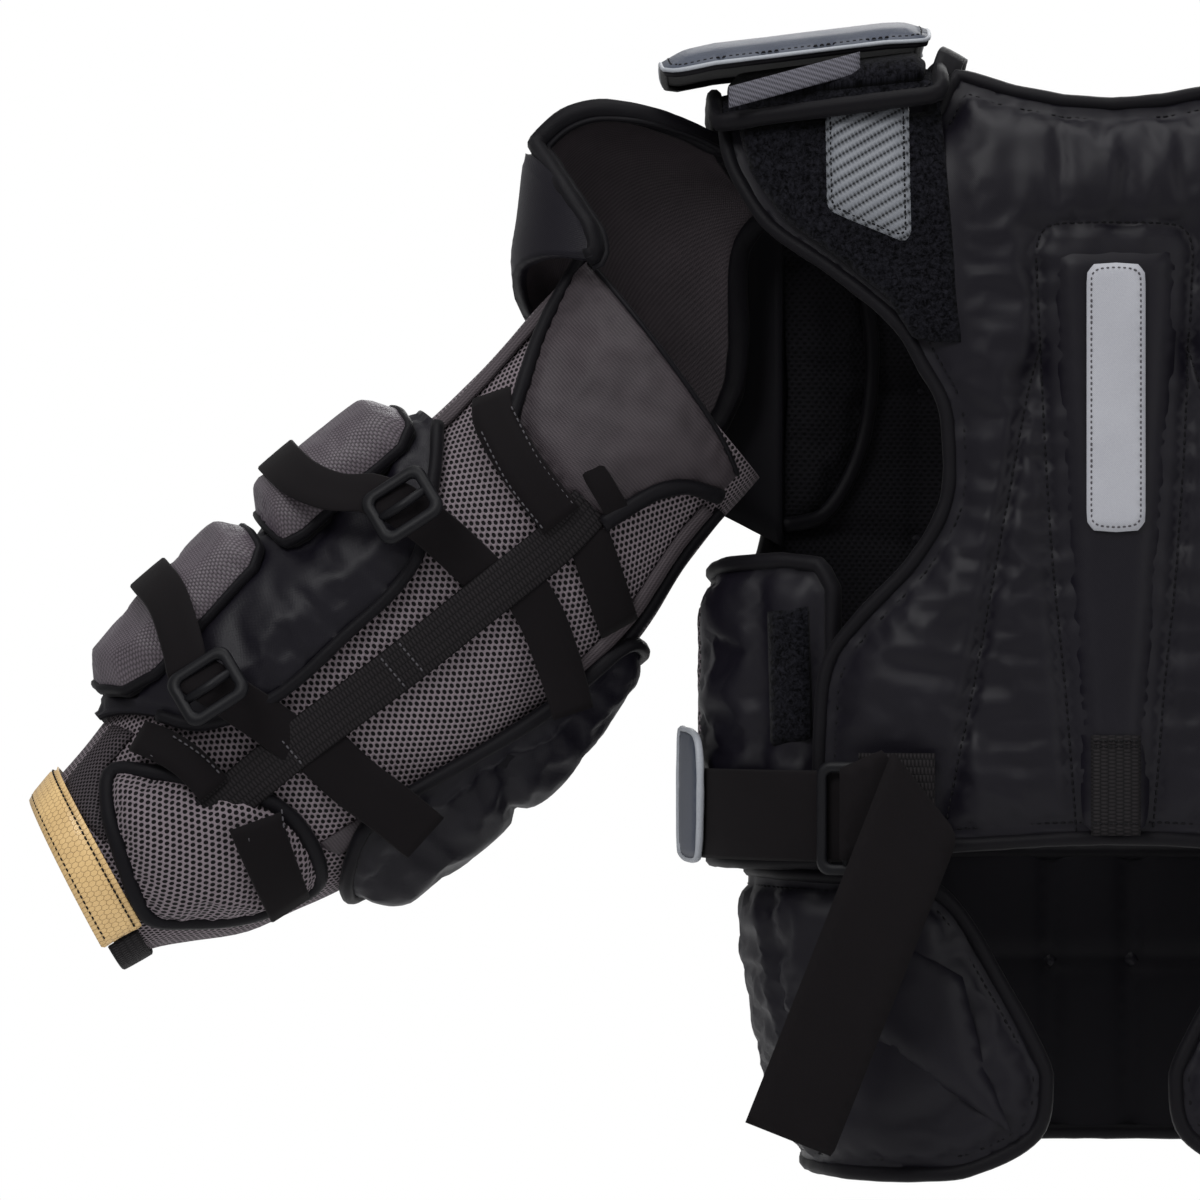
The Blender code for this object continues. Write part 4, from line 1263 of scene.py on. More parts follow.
def chest_pieces():
    """Chest and belly: plain quilted lining inside, raised blocks of padding in front."""
    edge = [(-0.02, 0.19), (-0.07, 0.182), (-0.15, 0.176), (-0.23, 0.182),
            (-0.29, 0.198), (-0.408, 0.2)]
    top = [(0.0, -0.065), (-0.03, -0.059), (-0.056, -0.04), (-0.07, -0.024),
           (-0.09, -0.0205), (-0.15, -0.02), (-0.186, -0.022)]
    side = [(-half, z) for z, half in edge[1:]]
    outline = even_line(both_sides(top + side + [(-0.193, -0.408), (0.0, -0.408)]), 0.006,
                        True)
    seams = [even_line([(0.0, -0.08), (0.0, -0.4)], 0.006)]
    for z in (-0.15, -0.235, -0.32):
        seams.append(flowing_line([(-0.18, z + 0.012), (-0.09, z), (0.0, z - 0.008),
                                   (0.09, z), (0.18, z + 0.012)], 0.006))
    for mirror in (-1, 1):
        seams.append(flowing_line([(mirror * 0.1, -0.03), (mirror * 0.095, -0.15),
                                   (mirror * 0.105, -0.4)], 0.006))
    height = swell(outline, seams, full=0.026, edge=0.009, rise=0.024, dip=0.01,
                   pucker=0.0012, crease=0.0012, hem=0.008, seam_width=0.006, seed=8.0)
    piece = pad("chest_panel", outline, on_chest, height, SATIN, seams, step=0.0065,
                under_finish=DARK_LINING, under_dip=0.0045, slack=0.05)
    settle(piece, "torso", "satin_nylon", ["chest_panel"], fill=0.8)
    settle(edge_binding("chest_binding", outline, on_chest, 0.005, 0.0048, 0.0062, BINDING),
           "torso", "satin_nylon")
    settle(stitches("chest_stitching",
                    [row_on(even_line(list(s), 0.005), on_chest, height) for s in seams],
                    THREAD, pitch=0.005, length=0.0032), "torso", "satin_nylon")

    def inside_chest(x, z, height):
        return on_chest(x, z, -height)

    facing = flowing_line([(-0.179, -0.064), (-0.15, -0.06), (-0.133, -0.086),
                           (-0.126, -0.13), (-0.132, -0.18), (-0.152, -0.218),
                           (-0.178, -0.226)], 0.005)
    outline = np.vstack([facing, even_line([(-0.179, -0.224), (-0.174, -0.15),
                                            (-0.179, -0.068)], 0.005)])
    height = swell(outline, (), full=0.008, edge=0.003, rise=0.014, pucker=0.001,
                   crease=0.001, hem=0.005, seed=17.0)
    pair(pad("left_armhole_facing", outline, inside_chest, height, DARK_LINING,
             step=0.0055, underside=0.0005, slack=0.05), "torso", "grey_lining", fill=0.4)
    bind_edge("left_armhole_facing_binding", facing, inside_chest, 0.003, 0.0044, 0.004,
              "torso", closed=False)

    half = [(0.0, -0.412), (-0.1, -0.412), (-0.174, -0.4135), (-0.1775, -0.418),
            (-0.164, -0.46), (-0.14, -0.52), (-0.121, -0.562), (-0.112, -0.57),
            (-0.06, -0.572), (0.0, -0.572)]
    outline = even_line(both_sides(half), 0.006, True)
    seams = [even_line([(mirror * 0.0225, -0.418), (mirror * 0.0225, -0.566)], 0.006)
             for mirror in (-1, 1)]
    seams += [even_line([(mirror * 0.09, -0.418), (mirror * 0.08, -0.566)], 0.006)
              for mirror in (-1, 1)]
    seams.append(even_line([(-0.15, -0.474), (0.15, -0.474)], 0.006))
    height = swell(outline, seams, full=0.02, edge=0.008, rise=0.02, dip=0.008,
                   pucker=0.0012, crease=0.0012, hem=0.007, seed=9.0)
    piece = pad("belly_panel", outline, on_belly, height, SATIN, seams, step=0.006,
                under_finish=SATIN_LOW, under_dip=0.004, slack=0.05)
    settle(piece, "belly", "satin_nylon", ["belly_panel"], fill=0.7)
    settle(edge_binding("belly_binding", outline, on_belly, 0.004, 0.0046, 0.0056, BINDING),
           "belly", "satin_nylon")
    settle(stitches("belly_stitching",
                    [row_on(even_line(list(s), 0.005), on_belly, height) for s in seams],
                    THREAD, pitch=0.005, length=0.0032), "belly", "satin_nylon")


def belly_seam():
    """Soft lining that bridges the fold between the chest and the belly flap."""
    upper, lower = [], []
    for x in np.linspace(-0.17, 0.17, 34):
        upper.append(on_chest(x, -0.402, 0.004))
        lower.append(on_belly(x, -0.419, 0.0045))
    seam = joined_cloth("belly_seam", upper, lower, Vector((0, -0.003, 0)), SATIN_LOW, 0.003)
    fix_shape(seam)
    settle(seam, "torso", "satin_nylon", fill=0.2,
           bend=("torso", "belly", (0, 0.125, -0.403), (0, 0.121, -0.418)))


RIB_ROUTE = Route(((-0.156, 0.076), (-0.196, 0.046), (-0.212, 0.0), (-0.196, -0.046),
                   (-0.15, -0.076)))
BELLY_ROUTE = Route(((-0.168, 0.062), (-0.188, 0.03), (-0.19, -0.02), (-0.168, -0.064),
                     (-0.112, -0.083), (-0.036, -0.086)), 0.16)


def side_wings():
    long = RIB_ROUTE.length
    outline = even_line([(0.000, -0.409), (0.000, -0.266), (0.004, -0.262), (0.08, -0.256),
                         (0.13, -0.249), (long - 0.03, -0.2465), (long - 0.008, -0.249),
                         (long, -0.262), (long, -0.4), (long - 0.006, -0.4125),
                         (0.006, -0.413)], 0.0055, True)
    seams = [even_line([(0.052, -0.262), (0.05, -0.408)], 0.0055),
             even_line([(0.104, -0.258), (0.1, -0.408)], 0.0055),
             flowing_line([(long - 0.046, -0.252), (long - 0.04, -0.32),
                           (long - 0.044, -0.408)], 0.0055)]
    height = swell(outline, seams, full=0.0135, edge=0.0065, rise=0.016, dip=0.0055,
                   pucker=0.0012, crease=0.0014, hem=0.007, seed=11.0)

    def under_others(points):
        along, z = points[:, 0], points[:, 1]
        strip = (along > long - 0.04) & (along < long - 0.006) & (z > -0.352)
        return strip | ((along > 0.052) & (along < 0.102))

    wing = pad("left_rib_wing", outline, RIB_ROUTE.place, height, SATIN, seams, step=0.005,
               under_finish=SATIN_LOW, under_dip=0.003, slack=0.06, pressed=under_others)
    pair(wing, "torso", "satin_nylon", nodes=["left_rib_wing"], fill=0.6)
    bind_edge("left_rib_binding", outline, RIB_ROUTE.place, 0.0045, 0.0046, 0.0052, "torso")
    panel = even_line([(0.056, -0.268), (0.098, -0.264), (0.095, -0.402), (0.055, -0.402)],
                      0.005, True)
    swollen = swell(panel, (), full=0.0165, edge=0.0095, rise=0.012, pucker=0.0004,
                    crease=0.0006, hem=0.003, seed=12.0)
    pair(pad("left_rib_mesh", panel, RIB_ROUTE.place, swollen, MESH, step=0.005,
             underside=0.008), "torso", "spacer_mesh", fill=0.5)
    strip = even_line([(long - 0.036, -0.275), (long - 0.012, -0.272), (long - 0.01, -0.345),
                       (long - 0.034, -0.349)], 0.004, True)
    flatter = swell(strip, (), full=0.015, edge=0.0138, rise=0.004, pucker=0.0001,
                    crease=0.0003, hem=0.001, seed=13.0)
    pair(pad("left_rib_loop", strip, RIB_ROUTE.place, flatter, LOOP, step=0.005,
             underside=0.011), "torso", "loop_cloth")

    long = BELLY_ROUTE.length
    outline = flowing_line([(0.004, -0.426), (0.06, -0.419), (0.12, -0.419),
                            (long * 0.72, -0.424), (long * 0.815, -0.4365),
                            (long * 0.905, -0.4791), (long * 0.975, -0.517),
                            (long * 0.99, -0.534), (long * 0.955, -0.562),
                            (long * 0.8, -0.5805), (long * 0.66, -0.584),
                            (long * 0.45, -0.583), (0.05, -0.58), (0.006, -0.57),
                            (0.000, -0.5)], 0.005, True)
    seams = [flowing_line([(0.06, -0.43), (0.062, -0.5), (0.058, -0.574)], 0.005),
             flowing_line([(0.12, -0.43), (0.124, -0.5), (0.12, -0.576)], 0.005)]
    height = swell(outline, seams, full=0.012, edge=0.006, rise=0.02, dip=0.005,
                   pucker=0.0014, crease=0.0016, hem=0.0075, seed=14.0)
    wing = pad("left_belly_wing", outline, BELLY_ROUTE.place, height, SATIN, seams,
               step=0.0048, under_finish=SATIN_LOW, slack=0.06)
    pair(wing, "belly", "satin_nylon", nodes=["left_belly_wing"], fill=0.5)
    bind_edge("left_belly_binding", outline, BELLY_ROUTE.place, 0.004, 0.0044, 0.0048, "belly")
    row = edge_row(outline, 0.008, 0.004, BELLY_ROUTE.place, height)
    pair(stitches("left_belly_wing_stitching", [row], THREAD), "belly", "satin_nylon")
    panel_side, wing_side = [], []
    for z in np.linspace(-0.43, -0.558, 12):
        half = mix(0.17, 0.118, (z + 0.43) / -0.128)
        panel_side.append(on_belly(-half, z, 0.008))
        wing_side.append(BELLY_ROUTE.place(0.01, z, 0.005))
    pair(joined_cloth("left_belly_gore", panel_side, wing_side, Vector((-0.004, 0.004, 0)),
                      SATIN_LOW, 0.004), "belly", "satin_nylon", fill=0.2)
    fin = even_line([(long * 0.66, -0.447), (long * 0.83, -0.475), (long * 0.86, -0.526),
                     (long * 0.905, -0.561), (long * 0.86, -0.553), (long * 0.74, -0.53),
                     (long * 0.6, -0.5)], 0.0045, True)
    swollen = swell(fin, (), full=0.0195, edge=0.015, rise=0.012, pucker=0.0008,
                    crease=0.0012, hem=0.002, seed=15.0)
    pair(pad("left_belly_fin", fin, BELLY_ROUTE.place, swollen, SATIN, step=0.005,
             underside=0.01), "belly", "satin_nylon", fill=0.3)


STRAP_ROUTE = ((-0.2285, -0.012), (-0.2195, -0.05), (-0.198, -0.083), (-0.17, -0.1095),
               (-0.14, -0.1205))


def waist_strap():
    high = -0.361
    middle = high - TWO_INCH / 2
    line = flowing_line(STRAP_ROUTE, 0.005)
    centres = [Vector((x, y - 0.0008, middle)) for x, y in line]
    strap = band("left_body_strap", centres, [(0, 0, 1)] * len(centres), TWO_INCH - 0.001,
                 WEBBING, ELASTIC)
    pair(strap, "torso", "elastic", nodes=["left_body_strap"])
    anchor = [on_back(x, middle + 0.01, 0.016 + 0.0008 * math.sin(40 * x))
              for x in np.linspace(-0.1345, -0.0946, 9)]
    pair(band("left_strap_anchor", anchor, [(0, 0, 1)] * 9, 0.049, WEBBING, WEBBED),
         "torso", "webbing", nodes=["left_strap_anchor"])
    turn = Matrix.Rotation(math.radians(-19), 4, "Z") @ Matrix.Rotation(math.pi / 2, 4, "X")
    place = Matrix.Translation(Vector((-0.146, -0.1245, -0.3875))) @ turn
    pair(slide_frame("left_body_slide", 0.034, 0.062, 0.0058, 0.0046, place, PLASTIC),
         "body_slide", "moulded_plastic", nodes=["left_body_slide"])

    down, across = Vector((-0.37, 0, -0.929)), Vector((0.929, 0, -0.37))
    length = 0.217

    def on_tail(a, b, height):
        share = (b + 0.037) / length
        depth = mix(-0.1372, -0.151, share) - 0.005 * math.sin(math.pi * share)
        spot = Vector((-0.088, depth - height, -0.4032)) + across * a + down * b
        return spot

    corners = even_line([(-TWO_INCH, 0.18), (0.0, 0.18), (0.0, -0.002), (-0.0035, -0.0092),
                         (-TWO_INCH, -0.037)], 0.005, True)
    flat = swell(corners, (), full=0.0018, edge=0.0012, rise=0.003, pucker=0.0, crease=0.0003,
                 hem=0.001)
    tail = pad("left_strap_tail", corners, on_tail, flat, ELASTIC, step=0.006)
    pair(tail, "strap_tail", "elastic", nodes=["left_strap_tail"],
         bend=("body_slide", "strap_tail", tuple(on_tail(-0.025, -0.01, 0)),
               tuple(on_tail(-0.025, 0.04, 0))),
         sheet={"flat": (TWO_INCH, length), "held": "hung", "rests_on": ["left_body_slide"]})

    def behind_tail(x, z, height):
        return Vector((x, mix(-0.129, -0.1345, (x + 0.15) / 0.06) - height, z))

    corners = even_line([(-0.15, -0.36), (-0.127, -0.35), (-0.093, -0.39),
                         (-0.092, -0.402), (-0.15, -0.411)], 0.005, True)
    pair(pad("left_strap_turn", corners, behind_tail, flat_cloth(0.0018), ELASTIC,
             step=0.006), "body_slide", "elastic")

    def on_tab(a, z, height):
        base = Vector((mix(-0.2345, -0.2235, a / 0.045), mix(-0.004, -0.05, a / 0.045), z))
        return base + Vector((-0.98, -0.19, 0)) * height

    outline = flowing_line([(0.002, -0.346), (0.012, -0.3405), (0.036, -0.344),
                            (0.044, -0.356), (0.045, -0.38), (0.042, -0.406),
                            (0.034, -0.4125), (0.008, -0.411), (0.001, -0.4)], 0.003, True)
    height = swell(outline, (), full=0.0038, edge=0.0026, rise=0.005, pucker=0.0001,
                   crease=0.0002, hem=0.0022, seed=16.0)
    pair(pad("left_side_tab", outline, on_tab, height, SILVER, step=0.0045,
             under_finish=LOOP), "torso", "silver_leather", nodes=["left_side_tab"])
    pair(edge_binding("left_side_tab_piping", outline, on_tab, 0.0016, 0.0015, 0.0022, PIPING),
         "torso", "silver_leather")


# ---- the arm's surfaces -------------------------------------------------------------------
def arm_point(along, back, outward):
    return ARM_START + DOWN_ARM * along + TO_BACK * back + OUTWARD * outward


def on_sleeve(along, arc, height):
    """Round the sleeve: arc 0 is outward, a quarter turn is to the back."""
    centre, half_height, half_depth = look_up(SLEEVE_SECTIONS, along)
    angle = arc / ARM_ROUND
    return arm_point(along, (half_depth + height) * math.sin(angle),
                     centre + (half_height + height) * math.cos(angle))


def arc_at(along, outward, height=0.0):
    """The arc where the sleeve's back side stands this far outward."""
    centre, half_height, _ = look_up(SLEEVE_SECTIONS, along)
    share = min(max((outward - centre) / (half_height + height), -1.0), 1.0)
    return math.acos(share) * ARM_ROUND


def laid(points, height=0.0):
    """(along, outward) places on the sleeve's back as (along, arc)."""
    return [(a, arc_at(a, o, height)) for a, o in points]


def strap_on_arm(name, places, width, finish, taper=None, thick=WEBBING):
    """A strap over the sleeve through (along, outward, height) places."""
    line = flowing_line(places, 0.005)
    centres = [on_sleeve(a, arc_at(a, o, h), h) for a, o, h in line]
    outs = [on_sleeve(a, arc_at(a, o, h), h + 0.004) - c for (a, o, h), c in zip(line, centres)]
    sides = []
    for k, out in enumerate(outs):
        run = centres[min(k + 1, len(centres) - 1)] - centres[max(k - 1, 0)]
        sides.append(run.cross(out).normalized())
    sizes = None
    if taper:
        sizes = [mix(taper[0], taper[1], k / (len(line) - 1)) for k in range(len(line))]
    return band(name, centres, sides, width, thick, finish, sizes)


def stitched_across(name, places, finish, reach):
    """Short stitch rows across the arm at (along, outward, height) places."""
    rows = []
    for along, outward, height in places:
        row = []
        for shift in np.linspace(-reach, reach, 6):
            spot = on_sleeve(along, arc_at(along, outward + shift, height), height)
            out = on_sleeve(along, arc_at(along, outward + shift, height), height + 0.004)
            row.append((spot, out - spot))
        rows.append(row)
    return stitches(name, rows, finish, pitch=0.0036, length=0.0025, thick=0.0006)


ELBOW = ("upper_arm", "forearm",
         tuple(arm_point(ELBOW_ALONG - ELBOW_REACH, 0, 0)),
         tuple(arm_point(ELBOW_ALONG + ELBOW_REACH, 0, 0)))


def sleeve_pieces():
    rows, uvs = [], []
    around = 72
    for along in np.arange(-0.024, 0.4, 0.0055):
        row, marks = [], []
        for k in range(around + 1):
            arc = 2 * math.pi * ARM_ROUND * k / around
            outward = look_up(SLEEVE_SECTIONS, along)[1] * math.cos(arc / ARM_ROUND)
            slant = -0.22 * outward * ease((along - 0.3) / 0.1)
            at = along + slant
            swelling = 0.0016 * noise.noise(Vector((at / 0.035, arc / 0.05, 3.0)))
            marks.append((arc, at))
            if k < around:
                row.append(on_sleeve(at, arc, swelling - 0.001))
        rows.append(row)
        uvs.append(marks)
    tube = lattice("left_sleeve", rows, uvs, MESH, wrap=True, thick=0.006,
                   inner_finish=DARK_LINING)
    pair(tube, "", "spacer_mesh", fill=0.5, bend=ELBOW,
         nodes=["left_upper_sleeve", "left_forearm_sleeve", "left_elbow_gusset"])

    top = laid([(-0.029, 0.075), (-0.0275, 0.0235), (-0.0225, -0.035), (-0.015, -0.064),
                (0.0004, -0.066), (0.0163, -0.0482), (0.0349, -0.0411), (0.0566, -0.0378),
                (0.064, -0.015), (0.066, 0.01), (0.06, 0.0357), (0.0167, 0.0611),
                (-0.02, 0.078)])
    outline = even_line(top, 0.005, True)
    height = swell(outline, (), full=0.006, edge=0.003, rise=0.02, pucker=0.0006,
                   crease=0.0018, crease_size=(0.05, 0.035), hem=0.003, seed=21.0)
    panel = pad("left_arm_lining", outline, on_sleeve, height, LINING, step=0.005,
                underside=0.0004, slack=0.03, sewn_edge=0.006)
    pair(panel, "upper_arm", "grey_lining", fill=0.3)
    lower = flowing_line(laid([(0.0004, -0.066), (0.01, -0.052), (0.023, -0.044),
                               (0.0349, -0.0411), (0.06, -0.0378)]), 0.004)
    side = flowing_line(laid([(-0.033, 0.079), (-0.015, 0.074), (0.002, 0.068),
                              (0.02, 0.06), (0.042, 0.047), (0.062, 0.035)]), 0.004)
    bind_edge("left_arm_lining_side_binding", side, on_sleeve, 0.004, 0.0042, 0.004,
              "upper_arm", closed=False)
    bind_edge("left_arm_lining_binding", lower, on_sleeve, 0.004, 0.0048, 0.004,
              "upper_arm", closed=False)
    seam = flowing_line(laid([(-0.029, 0.075), (-0.0275, 0.0235), (-0.0225, -0.035),
                              (-0.015, -0.064)]), 0.004)
    bind_edge("left_arm_top_seam", seam, on_sleeve, 0.0022, 0.0016, 0.0022, "upper_arm",
              closed=False)

    for name, arc_start, arc_end, first, last, finish, wide in (
            ("left_upper_edge_piping", 22, 26, -0.022, 0.105, TWILL, 0.0058),
            ("left_lower_edge_piping", 148, 146, 0.01, 0.13, TWILL, 0.0058),
            ("left_lower_edge_binding", 158, 156, 0.005, 0.14, BINDING, 0.005)):
        line = []
        for share in np.linspace(0, 1, 30):
            along = mix(first, last, share)
            line.append((along, math.radians(mix(arc_start, arc_end, share)) * ARM_ROUND))
        pair(edge_binding(name, np.array(line), on_sleeve, 0.0012, wide, 0.003, finish,
                          closed=False), "upper_arm", "ribbed_cloth")


GUARD_ROWS = (
    (-0.126, 0.076, 0.05, 0, -64),
    (-0.115, 0.101, 0.054, 6, -70),
    (-0.1, 0.124, 0.058, 8, -76),
    (-0.085, 0.138, 0.061, 6, -84),
    (-0.07, 0.144, 0.064, 4, -92),
    (-0.056, 0.144, 0.066, 3, -98),
    (-0.048, 0.142, 0.0665, 6, -101),
    (-0.0445, 0.14, 0.067, 36, -102),
    (-0.0407, 0.137, 0.067, 51, -103),
    (-0.031, 0.128, 0.0675, 54, -106),
    (-0.018, 0.116, 0.068, 40, -109),
    (-0.0034, 0.103, 0.069, 21, -113),
    (0.008, 0.088, 0.07, -6, -115),
    (0.016, 0.082, 0.07, -34, -115),
    (0.03, 0.079, 0.07, -46, -117),
    (0.06, 0.078, 0.07, -52, -118),
)


def shoulder_guard():
    """Flared guard round the outside of the shoulder: lining inside, black shell outside."""
    first, last = GUARD_ROWS[0][0], GUARD_ROWS[-1][0]
    rows, uvs, near, far = [], [], [], []
    notch = -0.028
    for i in range(49):
        along = mix(first, last, i / 48)
        half_height, half_depth, start, end = look_up(GUARD_ROWS, along)
        row, marks = [], []
        for j in range(45):
            angle = math.radians(mix(start, end, j / 44))
            flat = 1 + 0.01 * noise.noise(Vector((along / 0.04, angle * 1.6, 4.0)))
            row.append(arm_point(along, half_depth * math.sin(angle) * flat,
                                 half_height * math.cos(angle) * flat))
            marks.append((angle * 0.09, along))
        rows.append(row)
        uvs.append(marks)
        if along < notch:
            near.append(row[0])
        far.append(row[-1])
    shell = lattice("left_shoulder_guard", rows, uvs, LINING)
    probe = shell.data.polygons[20 * 44 + 20]
    axis = arm_point(mix(first, last, 20 / 48), 0, 0)
    if probe.normal.dot(axis - probe.center) < 0:
        shell.data.flip_normals()
    shell.data.materials.append(SATIN)
    foam = shell.modifiers.new("foam", "SOLIDIFY")
    foam.thickness = 0.008
    foam.offset = -1.0
    foam.material_offset = 1
    foam.material_offset_rim = 1
    pair(shell, "upper_arm", "grey_lining", nodes=["left_shoulder_guard"], fill=0.4)

    rim = near[::-1] + rows[0][1:-1] + far
    outs = [p - arm_point((p - ARM_START).dot(DOWN_ARM), 0, 0) for p in rim]
    shifted = [p + o.normalized() * 0.004 for p, o in zip(rim, outs)]
    line = even_line([tuple(p) for p in shifted], 0.004)
    spread = [Vector(p) - arm_point((Vector(p) - ARM_START).dot(DOWN_ARM), 0, 0) for p in line]
    pair(cord_tube("left_guard_binding", [Vector(p) for p in line], spread, 0.0048, 0.0062,
                   BINDING), "upper_arm", "satin_nylon")
    inner = [p - o.normalized() * 0.0018 for p, o in zip(rim, outs)]
    toward = [Vector(p) for p in even_line([tuple(p) for p in inner], 0.004)]
    turned = [spread[min(k, len(spread) - 1)] for k in range(len(toward))]
    pair(cord_tube("left_guard_inner_binding", toward, turned, 0.006, 0.0022, BINDING),
         "upper_arm", "satin_nylon")


def arm_joining():
    """Black cloth that joins the arm to the chest inside the armhole."""
    chest_side, arm_side = [], []
    for share in np.linspace(0, 1, 15):
        chest_side.append(Vector((-0.176, 0.089, mix(-0.03, -0.238, share))))
        arm_side.append(Vector((-0.223, 0.087, mix(-0.024, -0.214, share))))
    cloth = joined_cloth("left_arm_joining", chest_side, arm_side, Vector((0, 0.006, 0)),
                         SATIN_LOW, 0.004)
    pair(cloth, "", "satin_nylon", fill=0.2,
         bend=("torso", "upper_arm", (-0.176, 0.089, -0.12), (-0.223, 0.087, -0.12)))


def elbow_pads():
    """Two thick ribbed caps over the elbow and the black satin flap under them."""
    edge = laid([(0.0935, 0.064), (0.1122, 0.044), (0.1514, 0.0129), (0.2113, 0.006),
                 (0.262, 0.0058), (0.3003, 0.0202), (0.3159, 0.04)], 0.008)
    far = [(0.344, 0.02), (0.345, -0.026), (0.1, -0.026), (0.096, 0.01)]
    outline = even_line(flowing_line(edge, 0.004).tolist() + far, 0.005, True)
    seam = flowing_line([(a, s - 0.011) for a, s in edge[1:-1]], 0.005)

    def flap_lift(points):
        toward = np.clip(points[:, 1] / 0.1, 0, 1) ** 2
        return 0.005 * toward + 0.0016 * ripple(points, (0.022, 0.012), 3.0) * toward

    height = swell(outline, [seam], full=0.0095, edge=0.0068, rise=0.02, dip=0.002,
                   pucker=0.0012, crease=0.002, crease_size=(0.03, 0.016), hem=0.004,
                   seed=31.0, extra=flap_lift)
    flap = pad("left_elbow_backing", outline, on_sleeve, height, SATIN, [seam], step=0.0044,
               underside=0.0036, under_finish=SATIN_LOW, slack=0.08, sewn_edge=0.006)
    pair(flap, "elbow_pad", "satin_nylon", nodes=["left_elbow_backing"], fill=0.3)
    bind_edge("left_elbow_backing_binding", flowing_line(edge, 0.004), on_sleeve, 0.0066, 0.0036,
              0.0042, "elbow_pad", closed=False)

    caps = (
        ("left_elbow_cap_upper",
         [(0.109, -0.004), (0.105, 0.024), (0.106, 0.042), (0.118, 0.05),
          (0.15, 0.051), (0.19, 0.0545), (0.2015, 0.052), (0.2035, 0.032),
          (0.2035, -0.004)], 0.0335, 41.0),
        ("left_elbow_cap_lower",
         [(0.215, -0.004), (0.212, 0.026), (0.213, 0.043), (0.223, 0.051),
          (0.26, 0.0545), (0.302, 0.055), (0.322, 0.046), (0.332, 0.026),
          (0.334, -0.004)], 0.031, 42.0),
    )
    for name, corners, full, seed in caps:
        outline = even_line(corners, 0.004, True)
        height = swell(outline, (), full=full, edge=0.019, rise=0.013, pucker=0.0008,
                       crease=0.001, crease_size=(0.03, 0.03), hem=0.0016, seed=seed)
        piece = pad(name, outline, on_sleeve, height, RIBBED, step=0.0042, underside=0.0105,
                    under_finish=BINDING, slack=0.02, sewn_edge=0.005)
        pair(piece, "elbow_pad", "ribbed_cloth", nodes=[name], fill=0.8)
        bind_edge(name + "_binding", outline, on_sleeve, 0.0165, 0.0024, 0.0034, "elbow_pad")


def elbow_wing():
    """The bound satin wing on the inner side of the elbow."""
    def on_wing(along, arc, height):
        flare = 0.014 * ease((arc - 0.19) / 0.06) * ease((along - 0.08) / 0.1)
        flare *= ease((0.305 - along) / 0.03)
        return on_sleeve(along, arc, height + flare)

    outline = flowing_line([(0.088, 0.222), (0.1, 0.206), (0.15, 0.2), (0.2, 0.19),
                            (0.245, 0.182), (0.275, 0.186), (0.298, 0.212),
                            (0.3, 0.25), (0.275, 0.276), (0.2, 0.279),
                            (0.12, 0.276), (0.094, 0.255)], 0.005, True)
    seams = [flowing_line([(0.11, 0.214), (0.16, 0.216), (0.215, 0.206), (0.285, 0.214)],
                          0.005),
             flowing_line([(0.18, 0.206), (0.2, 0.23), (0.196, 0.268)], 0.005)]
    height = swell(outline, seams, full=0.0115, edge=0.006, rise=0.012, dip=0.006,
                   pucker=0.0012, crease=0.0016, crease_size=(0.024, 0.014), hem=0.004,
                   seed=51.0)
    wing = pad("left_elbow_wing", outline, on_wing, height, SATIN, seams, step=0.004,
               underside=0.0016, under_finish=SATIN_LOW, slack=0.045, sewn_edge=0.006)
    pair(wing, "", "satin_nylon", nodes=["left_elbow_wing"], fill=0.4, bend=ELBOW)
    pair(edge_binding("left_elbow_wing_binding", outline, on_wing, 0.0052, 0.0038, 0.0046,
                      BINDING), "", "satin_nylon", bend=ELBOW)


